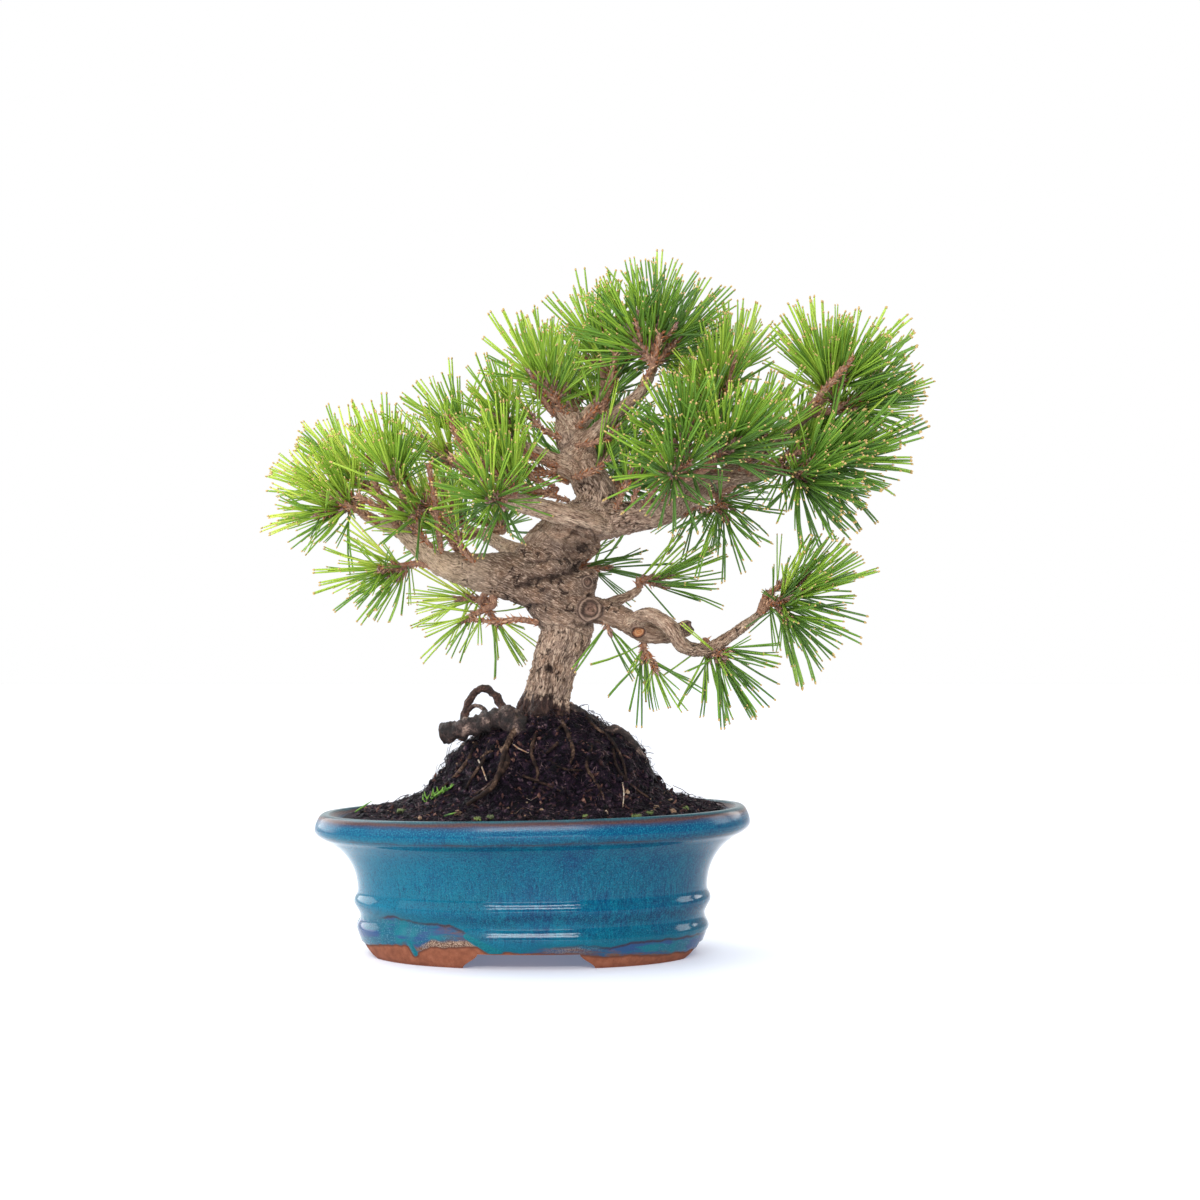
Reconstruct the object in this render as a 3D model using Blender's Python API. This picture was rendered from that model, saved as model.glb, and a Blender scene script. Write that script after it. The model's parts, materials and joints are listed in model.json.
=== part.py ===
"""Japanese black pine bonsai in its glazed oval pot.

Sizes are millimetres and become metres where a mesh is made. X runs to the right of the front
view, Y to the back and Z up. Places are measured from the middle of the pot on the ground. The
last step moves everything so that the origin is under the middle of the whole plant.
"""

import math
import random

import bmesh
import bpy
from mathutils import Matrix, Vector
from mathutils.geometry import intersect_point_line

MM = 0.001
GAP = 0.3  # clear space between neighbouring pieces
SEED = 41

# Pot: an oval whose walls flare to a lip, over two low ridges and four feet
POT_HALF_WIDTH = 121.0
POT_DEPTH_SHARE = 0.73  # depth of the oval over its width
POT_SQUARENESS = 2.15  # 2 is a true oval, more is squarer
POT_HEIGHT = 79.5
POT_WARP = 0.02  # the rim climbs this much to the right
OVAL_SIDES = 34
# height and half width, going up the outside
POT_WALL = (
    (0.0, 88.5), (2.5, 92.0), (9.0, 95.5), (15.5, 98.2), (23.0, 96.8), (29.5, 99.2), (36.0, 97.4),
    (45.0, 98.8), (52.5, 102.0), (58.5, 106.5), (64.0, 113.0), (68.0, 119.0), (70.5, POT_HALF_WIDTH),
    (77.0, POT_HALF_WIDTH), (POT_HEIGHT, 119.0),
)
# and going down the inside
POT_HOLLOW = (
    (POT_HEIGHT, 113.5), (77.0, 111.0), (64.0, 104.0), (50.0, 94.0), (32.0, 90.0), (19.0, 86.0),
)
FOOT_HEIGHT = 8.0
FOOT_RING = 13.0  # how far a foot reaches in from the pot's edge
FRONT_NOTCH = (35.0, 27.0)  # half length on the ground and at its top
SIDE_NOTCH = (27.0, 20.0)
BELOW = 5.0  # how far the cutters run past the ground

# Soil: it fills the pot and is heaped round the foot of the trunk
SOIL_CLEARANCE = 0.45  # level distance to the pot's sloping wall
SOIL_EDGE = 75.0
# height, half width, half depth and middle along X, going up
SOIL_HEAP = (
    (79.5, 98.0, 72.0, 1.0), (83.5, 80.0, 60.0, 4.0), (91.0, 64.0, 52.0, 6.0), (101.0, 57.0, 46.0, 7.0),
    (112.0, 50.0, 40.0, 8.0), (122.0, 36.0, 31.0, 8.0), (128.0, 26.0, 25.0, 9.0), (130.7, 20.0, 20.0, 9.0),
)
# broad clods on the heap: their height, their spacing, and the levels between which they stand out
CLOD_HEIGHT = 2.6
CLOD_SPACING = 26.0
CLOD_LEVELS = (82.0, 92.0, 118.0, 127.0)

# Trunk: middle line and radius from the flat cut on the soil to the fork at its top
TRUNK_FOOT = 131.0
TRUNK_SIDES = 14
TRUNK_STEP = 9.0
TRUNK = (
    (9, 0, TRUNK_FOOT, 16.0), (10, 0, 143, 12.8), (12, 1, 163, 12.8), (15.5, 1, 184, 15.6),
    (7, 0, 210, 19.0), (13, 0, 229, 16.0), (28, 0, 251, 11.8), (25, 1, 272, 9.2),
    (21, 0, 292, 7.2), (21, 0, 301, 5.6),
)
FLARE_HEIGHT = 14.0
FLARE_LOBES = 5
FLARE_DEPTH = 0.2
FLARE_TURN = 0.6  # radians, where the first lobe stands
# slow swellings up the trunk: share of the radius, times round it, and millimetres a radian
SWELLINGS = ((0.04, 2, 13.0), (0.024, 3, -7.0))
# burls: height, bearing in degrees from +X towards the back, share of the radius, half height and half width
BURLS = ((199.0, -22.0, 0.62, 9.0, 34.0),)

# Each limb: what carries it, what else it stays clear of, and its middle line with the radius
LIMB_STEP = 9.0
LIMB_SIDES = ((7.0, 9), (4.0, 7), (0.0, 6))  # sides of a limb wider than each radius
LIMBS = {
    "bough_left": ("trunk", (), (
        (0, -1, 206, 14.5), (-20, -5, 210, 12.2), (-36, -9, 212.5, 9.6), (-52, -14, 217, 7.0),
        (-72, -20, 233, 4.2), (-84, -18, 238, 3.5), (-93, -16, 243, 2.9))),
    "bough_right": ("trunk", (), (
        (26, 0, 238, 11.0), (54, -6, 242, 9.0), (74, -12, 246, 7.6), (90, -14, 257, 6.3),
        (110, -12, 264, 5.0), (128, -10, 266, 3.9))),
    "bough_crossing": ("trunk", ("bough_right",), (
        (24, -3, 237, 6.4), (25, -20, 239, 5.8), (10, -25, 243, 5.2), (-8, -28, 248, 4.8),
        (-16, -34, 250, 4.3))),
    "bough_upper_left": ("trunk", (), (
        (22, 0, 269, 6.0), (8, -6, 275, 4.6), (-6, -10, 281, 3.6), (-13, -11, 285, 2.9))),
    "bough_top_left": ("trunk", ("bough_top",), (
        (20, -1, 294, 4.6), (13, -6, 304, 3.6), (6, -9, 310, 2.9))),
    "bough_top": ("trunk", (), ((22, 1, 289, 5.0), (32, 4, 302, 3.8), (38, 5, 310, 2.9))),
    "bough_top_right": ("trunk", ("bough_top",), (
        (25, -2, 280, 5.2), (44, -15, 297, 3.8), (59, -24, 309, 3.1), (65, -27, 317, 2.6))),
    "bough_right_rising": ("bough_right", (), (
        (97, -13, 260, 4.6), (122, 0, 275, 3.7), (139, 2, 287, 3.1), (150, 0, 296, 2.8))),
    "bough_centre": ("bough_right", (), ((77, -13, 248, 4.6), (80, -29, 252, 3.6), (80, -42, 256, 3.0))),
    "bough_low": ("trunk", (), (
        (18, -2, 191, 8.6), (36, -8, 190, 7.4), (49, -14, 186, 6.6), (62, -20, 178, 5.8),
        (76, -15, 177, 5.2), (88, -12, 181, 4.2))),
    "bough_low_arm": ("bough_low", (), (
        (55, -18, 183, 4.8), (64, -31, 187, 4.3), (75, -35, 181, 4.3), (82, -33, 171, 4.2),
        (89, -30, 168, 4.0))),
    "bough_low_end": ("bough_low_arm", (), (
        (86, -31, 168, 3.6), (97, -28, 168.5, 3.8), (108, -26, 175, 3.3), (119, -25, 183, 2.8))),
    "bough_mid_right": ("trunk", (), (
        (17, 2, 192, 4.6), (37, 9, 193, 3.6), (50, 14, 197, 2.9), (58, 17, 201, 2.5))),
    "bough_back_left": ("trunk", (), (
        (8, 2, 212, 8.0), (1, 20, 219, 6.6), (-17, 47, 228, 4.6), (-34, 69, 238, 3.0))),
    "bough_back": ("trunk", (), (
        (22, 1, 240, 7.6), (24, 18, 243, 6.2), (31, 46, 254, 4.4), (37, 70, 266, 2.9))),
    "bough_back_right": ("bough_right", (), (
        (62, -8, 244, 6.0), (68, 8, 245, 5.2), (87, 38, 253, 4.1), (103, 60, 260, 2.9))),
    "bough_back_top": ("trunk", (), (
        (24, 1, 276, 5.4), (25, 16, 288, 4.2), (26, 31, 298, 3.4), (27, 43, 306, 2.8))),
}

# Roots that show on the heap, half sunk in the soil
ROOT_STEP = 8.0
ROOT_SIDES = 7
ROOTS = {
    "root_stub": (
        (-50, -15, 121.5, 4.9), (-35, -18, 125, 5.2), (-22, -19, 129.5, 5.4), (-12, -18, 131, 5.6),
        (-4, -17, 126, 5.0)),
    "root_arch": (
        (-41, 5, 117, 2.4), (-38, 7, 136, 2.4), (-30, 9, 146, 2.3), (-22, 9, 143, 2.6),
        (-16, 6, 133, 3.0), (-12, 4, 124, 3.0)),
    "root_right": (
        (27, -9, 127, 3.0), (38, -10, 122, 2.6), (47, -10, 123.5, 2.4), (57, -9, 114, 2.4),
        (66, -8, 97, 2.2)),
    "root_front": ((-9, -26, 126, 2.8), (-14, -37, 115, 2.4), (-17, -47, 101, 2.2), (-23, -53, 92, 2.0)),
}

# Shoots: needles stand round each in a spiral, level at its foot and steep at its bud
SHOOT_LENGTH = 17.0
SHOOT_RADIUS = 2.6
SHOOT_SIDES = 6
SHOOT_LEVELS = 5
SHOOT_ENDS = 2.5  # how far the spindle runs past the shoot at either end
NEEDLES_TRIED = 16
NEEDLE_START = 0.12  # share of the shoot that is bare below its lowest needle
NEEDLE_ROOT = 1.8
NEEDLE_TIP = 0.7  # radius; each stands for a bundle of real needles
NEEDLE_LEANS = (82.0, 24.0)  # degrees from the shoot, at its foot and at its bud
NEEDLE_SCATTER = 8.0
NEEDLE_SPREAD = 0.16  # how much shorter than the longest a needle may be
SHORTEST_SHARE = 0.6  # a needle cut shorter than this by its neighbours is left out
NEEDLE_TESTS = 10  # places along a needle where its clear space is tested
SPACE_MARGIN = 1.6  # half the clear space kept between two masses
LIMB_MARGIN = 2.0
STEM_RADIUS = 2.2
STEM_SIDES = 5
STEM_SHARE = 0.6  # most that a stem on a limb's side has of the limb's radius
FORK_PLACE = 0.35  # share of the way to the shoots where a stem forks
LONE_FORK_PLACE = 0.5  # the same where it carries one shoot
TWIG_RADIUS = 1.7
TWIG_SHARE = 0.8  # most that a twig has of its stem's radius
TWIG_SIDES = 4
TWIG_STEP = 14.0
TWIG_BEND = 8.0  # longest straight stretch below a shoot
TWIG_SUNK = 4.0  # how far a twig runs up into its shoot
GOLDEN_TURN = math.radians(137.508)

# Each mass of foliage: its limb, how far along it the stem leaves, its needles' length and
# its buds (x, y, z, heading, climb), with headings in degrees from +X towards the back
MASSES = {
    "foliage_left_tip": ("bough_left", 1.0, 39, ((-113, -17, 255, 200, 16), (-112, -25, 243, 205, -16))),
    "foliage_left_pad": ("bough_left", 0.75, 42, ((-78, -46, 268, 240, 48), (-105, 6, 270, 150, 38))),
    "foliage_left_low": ("bough_left", 0.42, 40, ((-82, -28, 212, 205, -10),)),
    "foliage_left_under": ("bough_left", 0.22, 38, (
        (-38, -20, 184, 215, -25), (-43, 14, 197, 160, 2), (-20, 24, 182, 60, -35))),
    "foliage_left_inner": ("bough_left", 0.35, 40, ((-65, -33, 240, 250, -20), (-57, 8, 253, 135, 42))),
    "foliage_crossing": ("bough_crossing", 1.0, 42, ((-21, -68, 247, 252, -14), (-15, -44, 268, 240, 55))),
    "foliage_upper_left": ("bough_upper_left", 1.0, 43, (
        (-17, -16, 300, 235, 55), (-48, 6, 297, 165, 50), (-54, -14, 276, 205, 22), (-26, 26, 280, 140, 28))),
    "foliage_top_left": ("bough_top_left", 1.0, 44, ((0, -24, 320, 215, 42), (6, 14, 326, 120, 62))),
    "foliage_top": ("bough_top", 1.0, 44, ((33, 18, 346, 125, 62), (46, -2, 336, 275, 62))),
    "foliage_crown": ("bough_top_right", 1.0, 46, (
        (64, -36, 345, 200, 50), (78, -30, 354, 300, 70), (90, -14, 346, 20, 45))),
    "foliage_right": ("bough_right", 1.0, 46, (
        (168, -6, 273, 350, 2), (149, -40, 257, 300, -30), (159, 26, 286, 35, 25))),
    "foliage_right_top": ("bough_right_rising", 1.0, 46, (
        (161, -8, 322, 205, 62), (179, -6, 322, 345, 38), (191, 16, 307, 15, 8))),
    "foliage_centre": ("bough_centre", 1.0, 46, (
        (75, -72, 260, 262, -10), (82, -56, 286, 258, 46), (109, -58, 278, 312, 30))),
    "foliage_right_low": ("bough_right", 0.66, 42, ((106, -30, 240, 285, -42),)),
    "foliage_right_inner": ("bough_right_rising", 0.3, 44, (
        (116, 24, 334, 60, 50), (92, 36, 314, 95, 52), (102, -24, 316, 275, 60))),
    "foliage_low_stub": ("bough_low", 0.6, 38, ((61, -24, 163, 262, -55),)),
    "foliage_low_end": ("bough_low_end", 1.0, 44, ((151, -26, 201, 340, 20), (142, -24, 184, 320, -45))),
    "foliage_low_under": ("bough_low_end", 0.12, 40, ((104, -31, 160, 305, -42),)),
    "foliage_mid_right": ("bough_mid_right", 1.0, 40, ((77, 20, 210, 15, 8),)),
    "foliage_behind": ("trunk", 0.43, 40, ((42, 42, 216, 35, 5), (16, 54, 206, 115, -12))),
    "foliage_back_left": ("bough_back_left", 1.0, 42, (
        (-52, 86, 248, 130, 24), (-22, 94, 244, 92, 14), (-62, 58, 240, 165, 14))),
    "foliage_back": ("bough_back", 1.0, 44, (
        (24, 90, 278, 112, 34), (54, 92, 270, 72, 14), (38, 78, 292, 90, 68))),
    "foliage_back_right": ("bough_back_right", 1.0, 44, (
        (120, 78, 268, 50, 22), (94, 86, 257, 95, 6), (128, 54, 278, 15, 44))),
    "foliage_back_top": ("bough_back_top", 1.0, 44, ((18, 58, 324, 112, 52), (46, 52, 326, 62, 52))),
}

# Colour and roughness
GLAZE = ((0.02, 0.2, 0.28), 0.15)
SOIL = ((0.035, 0.018, 0.014), 0.95)
BARK = ((0.26, 0.19, 0.14), 0.85)
ROOT = ((0.09, 0.06, 0.045), 0.85)
NEEDLE = ((0.12, 0.3, 0.05), 0.5)


# Scene and materials
def clear_scene():
    for obj in list(bpy.data.objects):
        bpy.data.objects.remove(obj, do_unlink=True)


def finish(obj, look):
    """Give the object a plain material of its own."""
    colour, roughness = look
    material = bpy.data.materials.new(obj.name)
    material.use_nodes = True
    shader = material.node_tree.nodes["Principled BSDF"]
    shader.inputs["Base Color"].default_value = (*colour, 1.0)
    shader.inputs["Roughness"].default_value = roughness
    shader.inputs["Metallic"].default_value = 0.0
    obj.data.materials.clear()
    obj.data.materials.append(material)


def shade_round(obj, angle=40):
    obj.data.shade_smooth()
    obj.data.set_sharp_from_angle(angle=math.radians(angle))


# Meshes
def object_of(shape, name):
    """Turn a bmesh in millimetres into a linked object in metres."""
    bmesh.ops.scale(shape, vec=(MM, MM, MM), verts=shape.verts)
    bmesh.ops.recalc_face_normals(shape, faces=shape.faces)
    mesh = bpy.data.meshes.new(name)
    shape.to_mesh(mesh)
    shape.free()
    obj = bpy.data.objects.new(name, mesh)
    bpy.context.scene.collection.objects.link(obj)
    return obj


def loft(name, rings):
    """A closed skin over rings of equally many points, with a flat face at each end."""
    shape = bmesh.new()
    loops = [[shape.verts.new(point) for point in ring] for ring in rings]
    shape.faces.new(loops[0][::-1])
    shape.faces.new(loops[-1])
    for lower, upper in zip(loops, loops[1:]):
        for i in range(len(lower)):
            j = (i + 1) % len(lower)
            shape.faces.new((lower[i], lower[j], upper[j], upper[i]))
    return object_of(shape, name)


def apply_modifiers(obj):
    graph = bpy.context.evaluated_depsgraph_get()
    mesh = bpy.data.meshes.new_from_object(obj.evaluated_get(graph))
    obj.modifiers.clear()
    obj.data = mesh


def bodies_of(shape):
    """The separate bodies of a bmesh, as lists of faces."""
    left = set(shape.faces)
    found = []
    while left:
        border = [left.pop()]
        body = list(border)
        while border:
            face = border.pop()
            around = {other for edge in face.edges for other in edge.link_faces} & left
            left -= around
            border += around
            body += around
        found.append(body)
    return found


def signed_volume(faces):
    total = 0.0
    for face in faces:
        corners = [vertex.co for vertex in face.verts]
        for b, c in zip(corners[1:], corners[2:]):
            total += corners[0].dot(b.cross(c)) / 6
    return total


def keep_main_body(obj):
    """Drop loose scraps and fill sealed hollows, then say whether what is left is closed."""
    shape = bmesh.new()
    shape.from_mesh(obj.data)
    bodies = bodies_of(shape)
    main = max(bodies, key=signed_volume)
    loose = [face for body in bodies if body is not main for face in body]
    bmesh.ops.delete(shape, geom=loose, context="FACES")
    closed = all(edge.is_manifold for edge in shape.edges)
    shape.to_mesh(obj.data)
    shape.free()
    return closed


def boolean(obj, operation, helpers):
    """Join the helpers to the object, or cut them from it, apply that and remove them."""
    group = bpy.data.collections.new("helpers")
    bpy.context.scene.collection.children.link(group)
    for helper in helpers:
        bpy.context.scene.collection.objects.unlink(helper)
        group.objects.link(helper)
    before = obj.data
    for solver in ("EXACT", "MANIFOLD"):
        obj.data = before.copy()
        modifier = obj.modifiers.new(operation.lower(), "BOOLEAN")
        modifier.operation = operation
        modifier.operand_type = "COLLECTION"
        modifier.collection = group
        modifier.solver = solver
        apply_modifiers(obj)
        if keep_main_body(obj):
            break
        print(obj.name, operation.lower(), "leaves an open edge with", solver)
    for helper in helpers:
        bpy.data.objects.remove(helper, do_unlink=True)
    bpy.data.collections.remove(group)


# Pot
def oval(height, half_width, half_depth, middle=0.0):
    """One level ring of the pot or the soil, tilted by the pot's warp."""
    ring = []
    power = 2 / POT_SQUARENESS
    for i in range(OVAL_SIDES):
        turn = math.tau * i / OVAL_SIDES
        across = math.copysign(abs(math.cos(turn)) ** power, math.cos(turn))
        along = math.copysign(abs(math.sin(turn)) ** power, math.sin(turn))
        x = middle + half_width * across
        warp = POT_WARP * x * min(height / POT_HEIGHT, 1.0)
        ring.append(Vector((x, half_depth * along, height + warp)))
    return ring


def notch(name, half_lengths, reach):
    """A block along Y with sloping ends, which cuts the foot ring into feet."""
    low, high = half_lengths
    rings = []
    for height, half in ((-BELOW, low), (0.0, low), (FOOT_HEIGHT, high)):
        corners = ((-half, -reach), (half, -reach), (half, reach), (-half, reach))
        rings.append([Vector((x, y, height)) for x, y in corners])
    return loft(name, rings)


def pot():
    rings = [oval(z, half, half * POT_DEPTH_SHARE) for z, half in POT_WALL + POT_HOLLOW]
    obj = loft("pot", rings)
    inner = POT_WALL[0][1] - FOOT_RING
    recess = loft("recess", [oval(z, inner, inner * POT_DEPTH_SHARE) for z in (-BELOW, FOOT_HEIGHT)])
    front = notch("front_notch", FRONT_NOTCH, POT_HALF_WIDTH)
    side = notch("side_notch", SIDE_NOTCH, POT_HALF_WIDTH)
    side.data.transform(Matrix.Rotation(math.pi / 2, 4, "Z"))
    boolean(obj, "DIFFERENCE", [recess, front, side])
    shade_round(obj)
    finish(obj, GLAZE)
    return obj


# Limbs and roots
def curve_through(rows, spacing):
    """Evenly stepped points and radii on a smooth curve through the rows."""
    points = [(Vector(row[:3]), row[3]) for row in rows]
    before = points[0][0] * 2 - points[1][0]
    after = points[-1][0] * 2 - points[-2][0]
    spread = [(before, 0.0), *points, (after, 0.0)]
    line = [points[0]]
    for p0, p1, p2, p3 in zip(spread, spread[1:], spread[2:], spread[3:]):
        steps = max(1, round((p2[0] - p1[0]).length / spacing))
        for step in range(1, steps + 1):
            t = step / steps
            weights = (
                (-t + 2 * t**2 - t**3) / 2,
                (2 - 5 * t**2 + 3 * t**3) / 2,
                (t + 4 * t**2 - 3 * t**3) / 2,
                (t**3 - t**2) / 2,
            )
            place = sum((w * p[0] for w, p in zip(weights, (p0, p1, p2, p3))), Vector())
            line.append((place, p1[1] + (p2[1] - p1[1]) * t))
    return line


def tube_rings(line, sides, grow=0.0, relief=None):
    """Rings square to the line, turned as little as can be from one to the next."""
    rings = []
    heading = (line[1][0] - line[0][0]).normalized()
    side = heading.orthogonal().normalized()
    last = len(line) - 1
    for i, (place, radius) in enumerate(line):
        turned = (line[min(i + 1, last)][0] - line[max(i - 1, 0)][0]).normalized()
        side = (heading.rotation_difference(turned) @ side).normalized()
        heading = turned
        up = heading.cross(side)
        overrun = -grow if i == 0 else grow if i == last else 0.0
        centre = place + heading * overrun
        ring = []
        for k in range(sides):
            turn = math.tau * k / sides
            out = side * math.cos(turn) + up * math.sin(turn)
            shape = relief(place, out, turn) if relief else 1.0
            ring.append(centre + out * (radius * shape + grow))
        rings.append(ring)
    return rings


def burls(place, out):
    """How far the burls swell the trunk in one direction, as a share of its radius."""
    bearing = math.degrees(math.atan2(out.y, out.x))
    total = 0.0
    for level, middle, share, half_height, half_width in BURLS:
        aside = (bearing - middle + 180) % 360 - 180
        total += share * math.exp(-(((place.z - level) / half_height) ** 2) - (aside / half_width) ** 2)
    return total


def bark_relief(place, out, turn):
    """Root lobes at the foot, slow swellings and burls above, as a share of the radius."""
    height = place.z - TRUNK_FOOT
    lobes = FLARE_DEPTH * math.cos(FLARE_LOBES * turn + FLARE_TURN) * max(0.0, 1 - height / FLARE_HEIGHT)
    swelling = sum(share * math.sin(times * turn + place.z / pitch) for share, times, pitch in SWELLINGS)
    return 1 + lobes + swelling * min(1.0, height / FLARE_HEIGHT) + burls(place, out)


def limb_line(name):
    """The stepped middle line of the trunk or of a limb."""
    if name == "trunk":
        return curve_through(TRUNK, TRUNK_STEP)
    return curve_through(LIMBS[name][2], LIMB_STEP)


def limb_shape(name, grow=0.0):
    line = limb_line(name)
    if name == "trunk":
        rings = tube_rings(line, TRUNK_SIDES, grow, bark_relief)
        for point in rings[0]:
            point.z = TRUNK_FOOT - grow
        return loft(name, rings)
    widest = max(radius for _, radius in line)
    sides = next(count for radius, count in LIMB_SIDES if widest > radius)
    return loft(name, tube_rings(line, sides, grow))


def limb(name):
    """One limb, cut clear of the one that carries it and of its neighbours."""
    obj = limb_shape(name)
    if name != "trunk":
        carrier, neighbours, _ = LIMBS[name]
        boolean(obj, "DIFFERENCE", [limb_shape(other, GAP) for other in (carrier, *neighbours)])
    obj.name = name
    shade_round(obj)
    finish(obj, BARK)
    return obj


def root_shape(name, grow=0.0):
    return loft(name, tube_rings(curve_through(ROOTS[name], ROOT_STEP), ROOT_SIDES, grow))


def root(name):
    obj = root_shape(name)
    boolean(obj, "DIFFERENCE", [limb_shape("trunk", GAP)])
    obj.name = name
    shade_round(obj)
    finish(obj, ROOT)
    return obj


# Soil
def hollow_at(height):
    """Half width of the pot's hollow at a height."""
    for (z_high, wide), (z_low, narrow) in zip(POT_HOLLOW, POT_HOLLOW[1:]):
        if z_low <= height <= z_high:
            return narrow + (wide - narrow) * (height - z_low) / (z_high - z_low)
    return POT_HOLLOW[-1][1]


def clods(point):
    """How far the heap stands out at a place, as broad clods that fade at its edge and top."""
    start, full, fade, end = CLOD_LEVELS
    share = max(0.0, min((point.z - start) / (full - start), (end - point.z) / (end - fade), 1.0))
    turn = math.tau / CLOD_SPACING
    wave = math.sin(turn * (point.x + point.z / 3)) * math.cos(turn * (point.y - point.z))
    return CLOD_HEIGHT * share * wave


def soil():
    """The heap in the pot, with a flat seat for the trunk and a groove for each root."""
    floor = POT_HOLLOW[-1][0] + GAP
    bends = [z for z, _ in reversed(POT_HOLLOW) if floor < z < SOIL_EDGE]
    rings = []
    for height in (floor, *bends, SOIL_EDGE):
        half = hollow_at(height) - SOIL_CLEARANCE
        rings.append(oval(height, half, half * POT_DEPTH_SHARE))
    for row in SOIL_HEAP:
        ring = oval(*row)
        middle = Vector((row[3], 0.0, 0.0))
        for point in ring:
            outward = (point - middle) * Vector((1.0, 1.0, 0.0))
            point += outward.normalized() * clods(point)
        rings.append(ring)
    for point in rings[-1]:
        point.z = TRUNK_FOOT - GAP
    obj = loft("soil", rings)
    boolean(obj, "DIFFERENCE", [root_shape(name, GAP) for name in ROOTS])
    shade_round(obj, 30)
    finish(obj, SOIL)
    return obj


# Foliage
def direction(heading, climb):
    turn, rise = math.radians(heading), math.radians(climb)
    level = math.cos(rise)
    return Vector((math.cos(turn) * level, math.sin(turn) * level, math.sin(rise)))


def point_along(line, share):
    """The place, radius and heading at a share of the way along a line."""
    lengths = [(b[0] - a[0]).length for a, b in zip(line, line[1:])]
    left = share * sum(lengths)
    for (a, b), length in zip(zip(line, line[1:]), lengths):
        if left <= length or b is line[-1]:
            t = min(left / length, 1.0)
            return a[0].lerp(b[0], t), a[1] + (b[1] - a[1]) * t, (b[0] - a[0]).normalized()
        left -= length
    return None


def mass_bones(name):
    """The stem and twigs of a mass as lines of (place, radius), and its shoots' two ends."""
    carrier, share, _, buds = MASSES[name]
    foot, radius, along = point_along(limb_line(carrier), share)
    shoots = []
    for *bud, heading, climb in buds:
        shoots.append((Vector(bud) - direction(heading, climb) * SHOOT_LENGTH, Vector(bud)))
    middle = sum((base for base, _ in shoots), Vector()) / len(shoots)
    outward = (middle - foot).normalized()
    if share == 1.0:
        start = foot - along
        leave = (along + outward) / 2
        stem_radius = radius
    else:
        start = foot
        leave = outward
        stem_radius = min(STEM_RADIUS, radius * STEM_SHARE)
    fork_place = FORK_PLACE if len(shoots) > 1 else LONE_FORK_PLACE
    fork = foot + leave * (middle - foot).length * fork_place
    twig_radius = min(TWIG_RADIUS, stem_radius * TWIG_SHARE)
    stem = [(start, stem_radius), (fork, (stem_radius + twig_radius) / 2)]
    twigs = []
    for base, bud in shoots:
        axis = (bud - base).normalized()
        bend = base - axis * min(TWIG_BEND, (base - fork).length / 3)
        ends = (fork, bend, base + axis * TWIG_SUNK)
        twigs.append(curve_through([(*end, twig_radius) for end in ends], TWIG_STEP))
    return stem, twigs, shoots


def distance_to(point, start, end):
    near, share = intersect_point_line(point, start, end)
    if share < 0:
        near = start
    elif share > 1:
        near = end
    return (point - near).length


def limb_segments():
    """Every limb as short straight pieces with a radius."""
    segments = []
    for name in ("trunk", *LIMBS):
        line = limb_line(name)
        segments += [(a[0], b[0], max(a[1], b[1])) for a, b in zip(line, line[1:])]
    return segments


def bone_segments(name):
    stem, twigs, shoots = mass_bones(name)
    segments = [(a[0], b[0]) for line in (stem, *twigs) for a, b in zip(line, line[1:])]
    return segments + shoots


def free_share(name, foot, tip, limbs, bones, standing):
    """How much of a needle stays in its mass's own space, clear of limbs and other needles."""
    rivals = [segment for other in bones if other != name for segment in bones[other]]
    free = 0.0
    for step in range(2, NEEDLE_TESTS + 1):
        share = step / NEEDLE_TESTS
        point = foot.lerp(tip, share)
        clearance = 2 * NEEDLE_TIP + NEEDLE_ROOT * (1 - share)
        if any(distance_to(point, a, b) < radius + LIMB_MARGIN for a, b, radius in limbs):
            return free
        if any(distance_to(point, a, b) < clearance for a, b in standing):
            return free
        own = min(distance_to(point, a, b) for a, b in bones[name])
        if any(distance_to(point, a, b) < own + 2 * SPACE_MARGIN for a, b in rivals):
            return free
        free = share
    return free


def spindle(base, bud):
    """A slim closed spindle of three-sided faces round a shoot, as a bmesh."""
    axis = (bud - base).normalized()
    side = axis.orthogonal().normalized()
    up = axis.cross(side)
    half = (bud - base).length / 2 + SHOOT_ENDS
    shape = bmesh.new()
    bmesh.ops.create_uvsphere(shape, u_segments=SHOOT_SIDES, v_segments=SHOOT_LEVELS, radius=1)
    bmesh.ops.triangulate(shape, faces=shape.faces)
    for vertex in shape.verts:
        x, y, z = vertex.co
        vertex.co = (base + bud) / 2 + (side * x + up * y) * SHOOT_RADIUS + axis * z * half
    bmesh.ops.recalc_face_normals(shape, faces=shape.faces)
    return shape


def draw_out(shape, face, tip):
    """Draw one face of the spindle out into a needle."""
    centre = face.calc_center_median()
    heading = (tip - centre).normalized()
    corners = list(face.verts)
    ends = []
    for corner in corners:
        off = corner.co - centre
        off -= heading * off.dot(heading)
        ends.append(shape.verts.new(tip + off.normalized() * NEEDLE_TIP))
    shape.faces.remove(face)
    for i in range(3):
        j = (i + 1) % 3
        shape.faces.new((corners[i], corners[j], ends[j]))
        shape.faces.new((corners[i], ends[j], ends[i]))
    shape.faces.new(ends)


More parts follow.
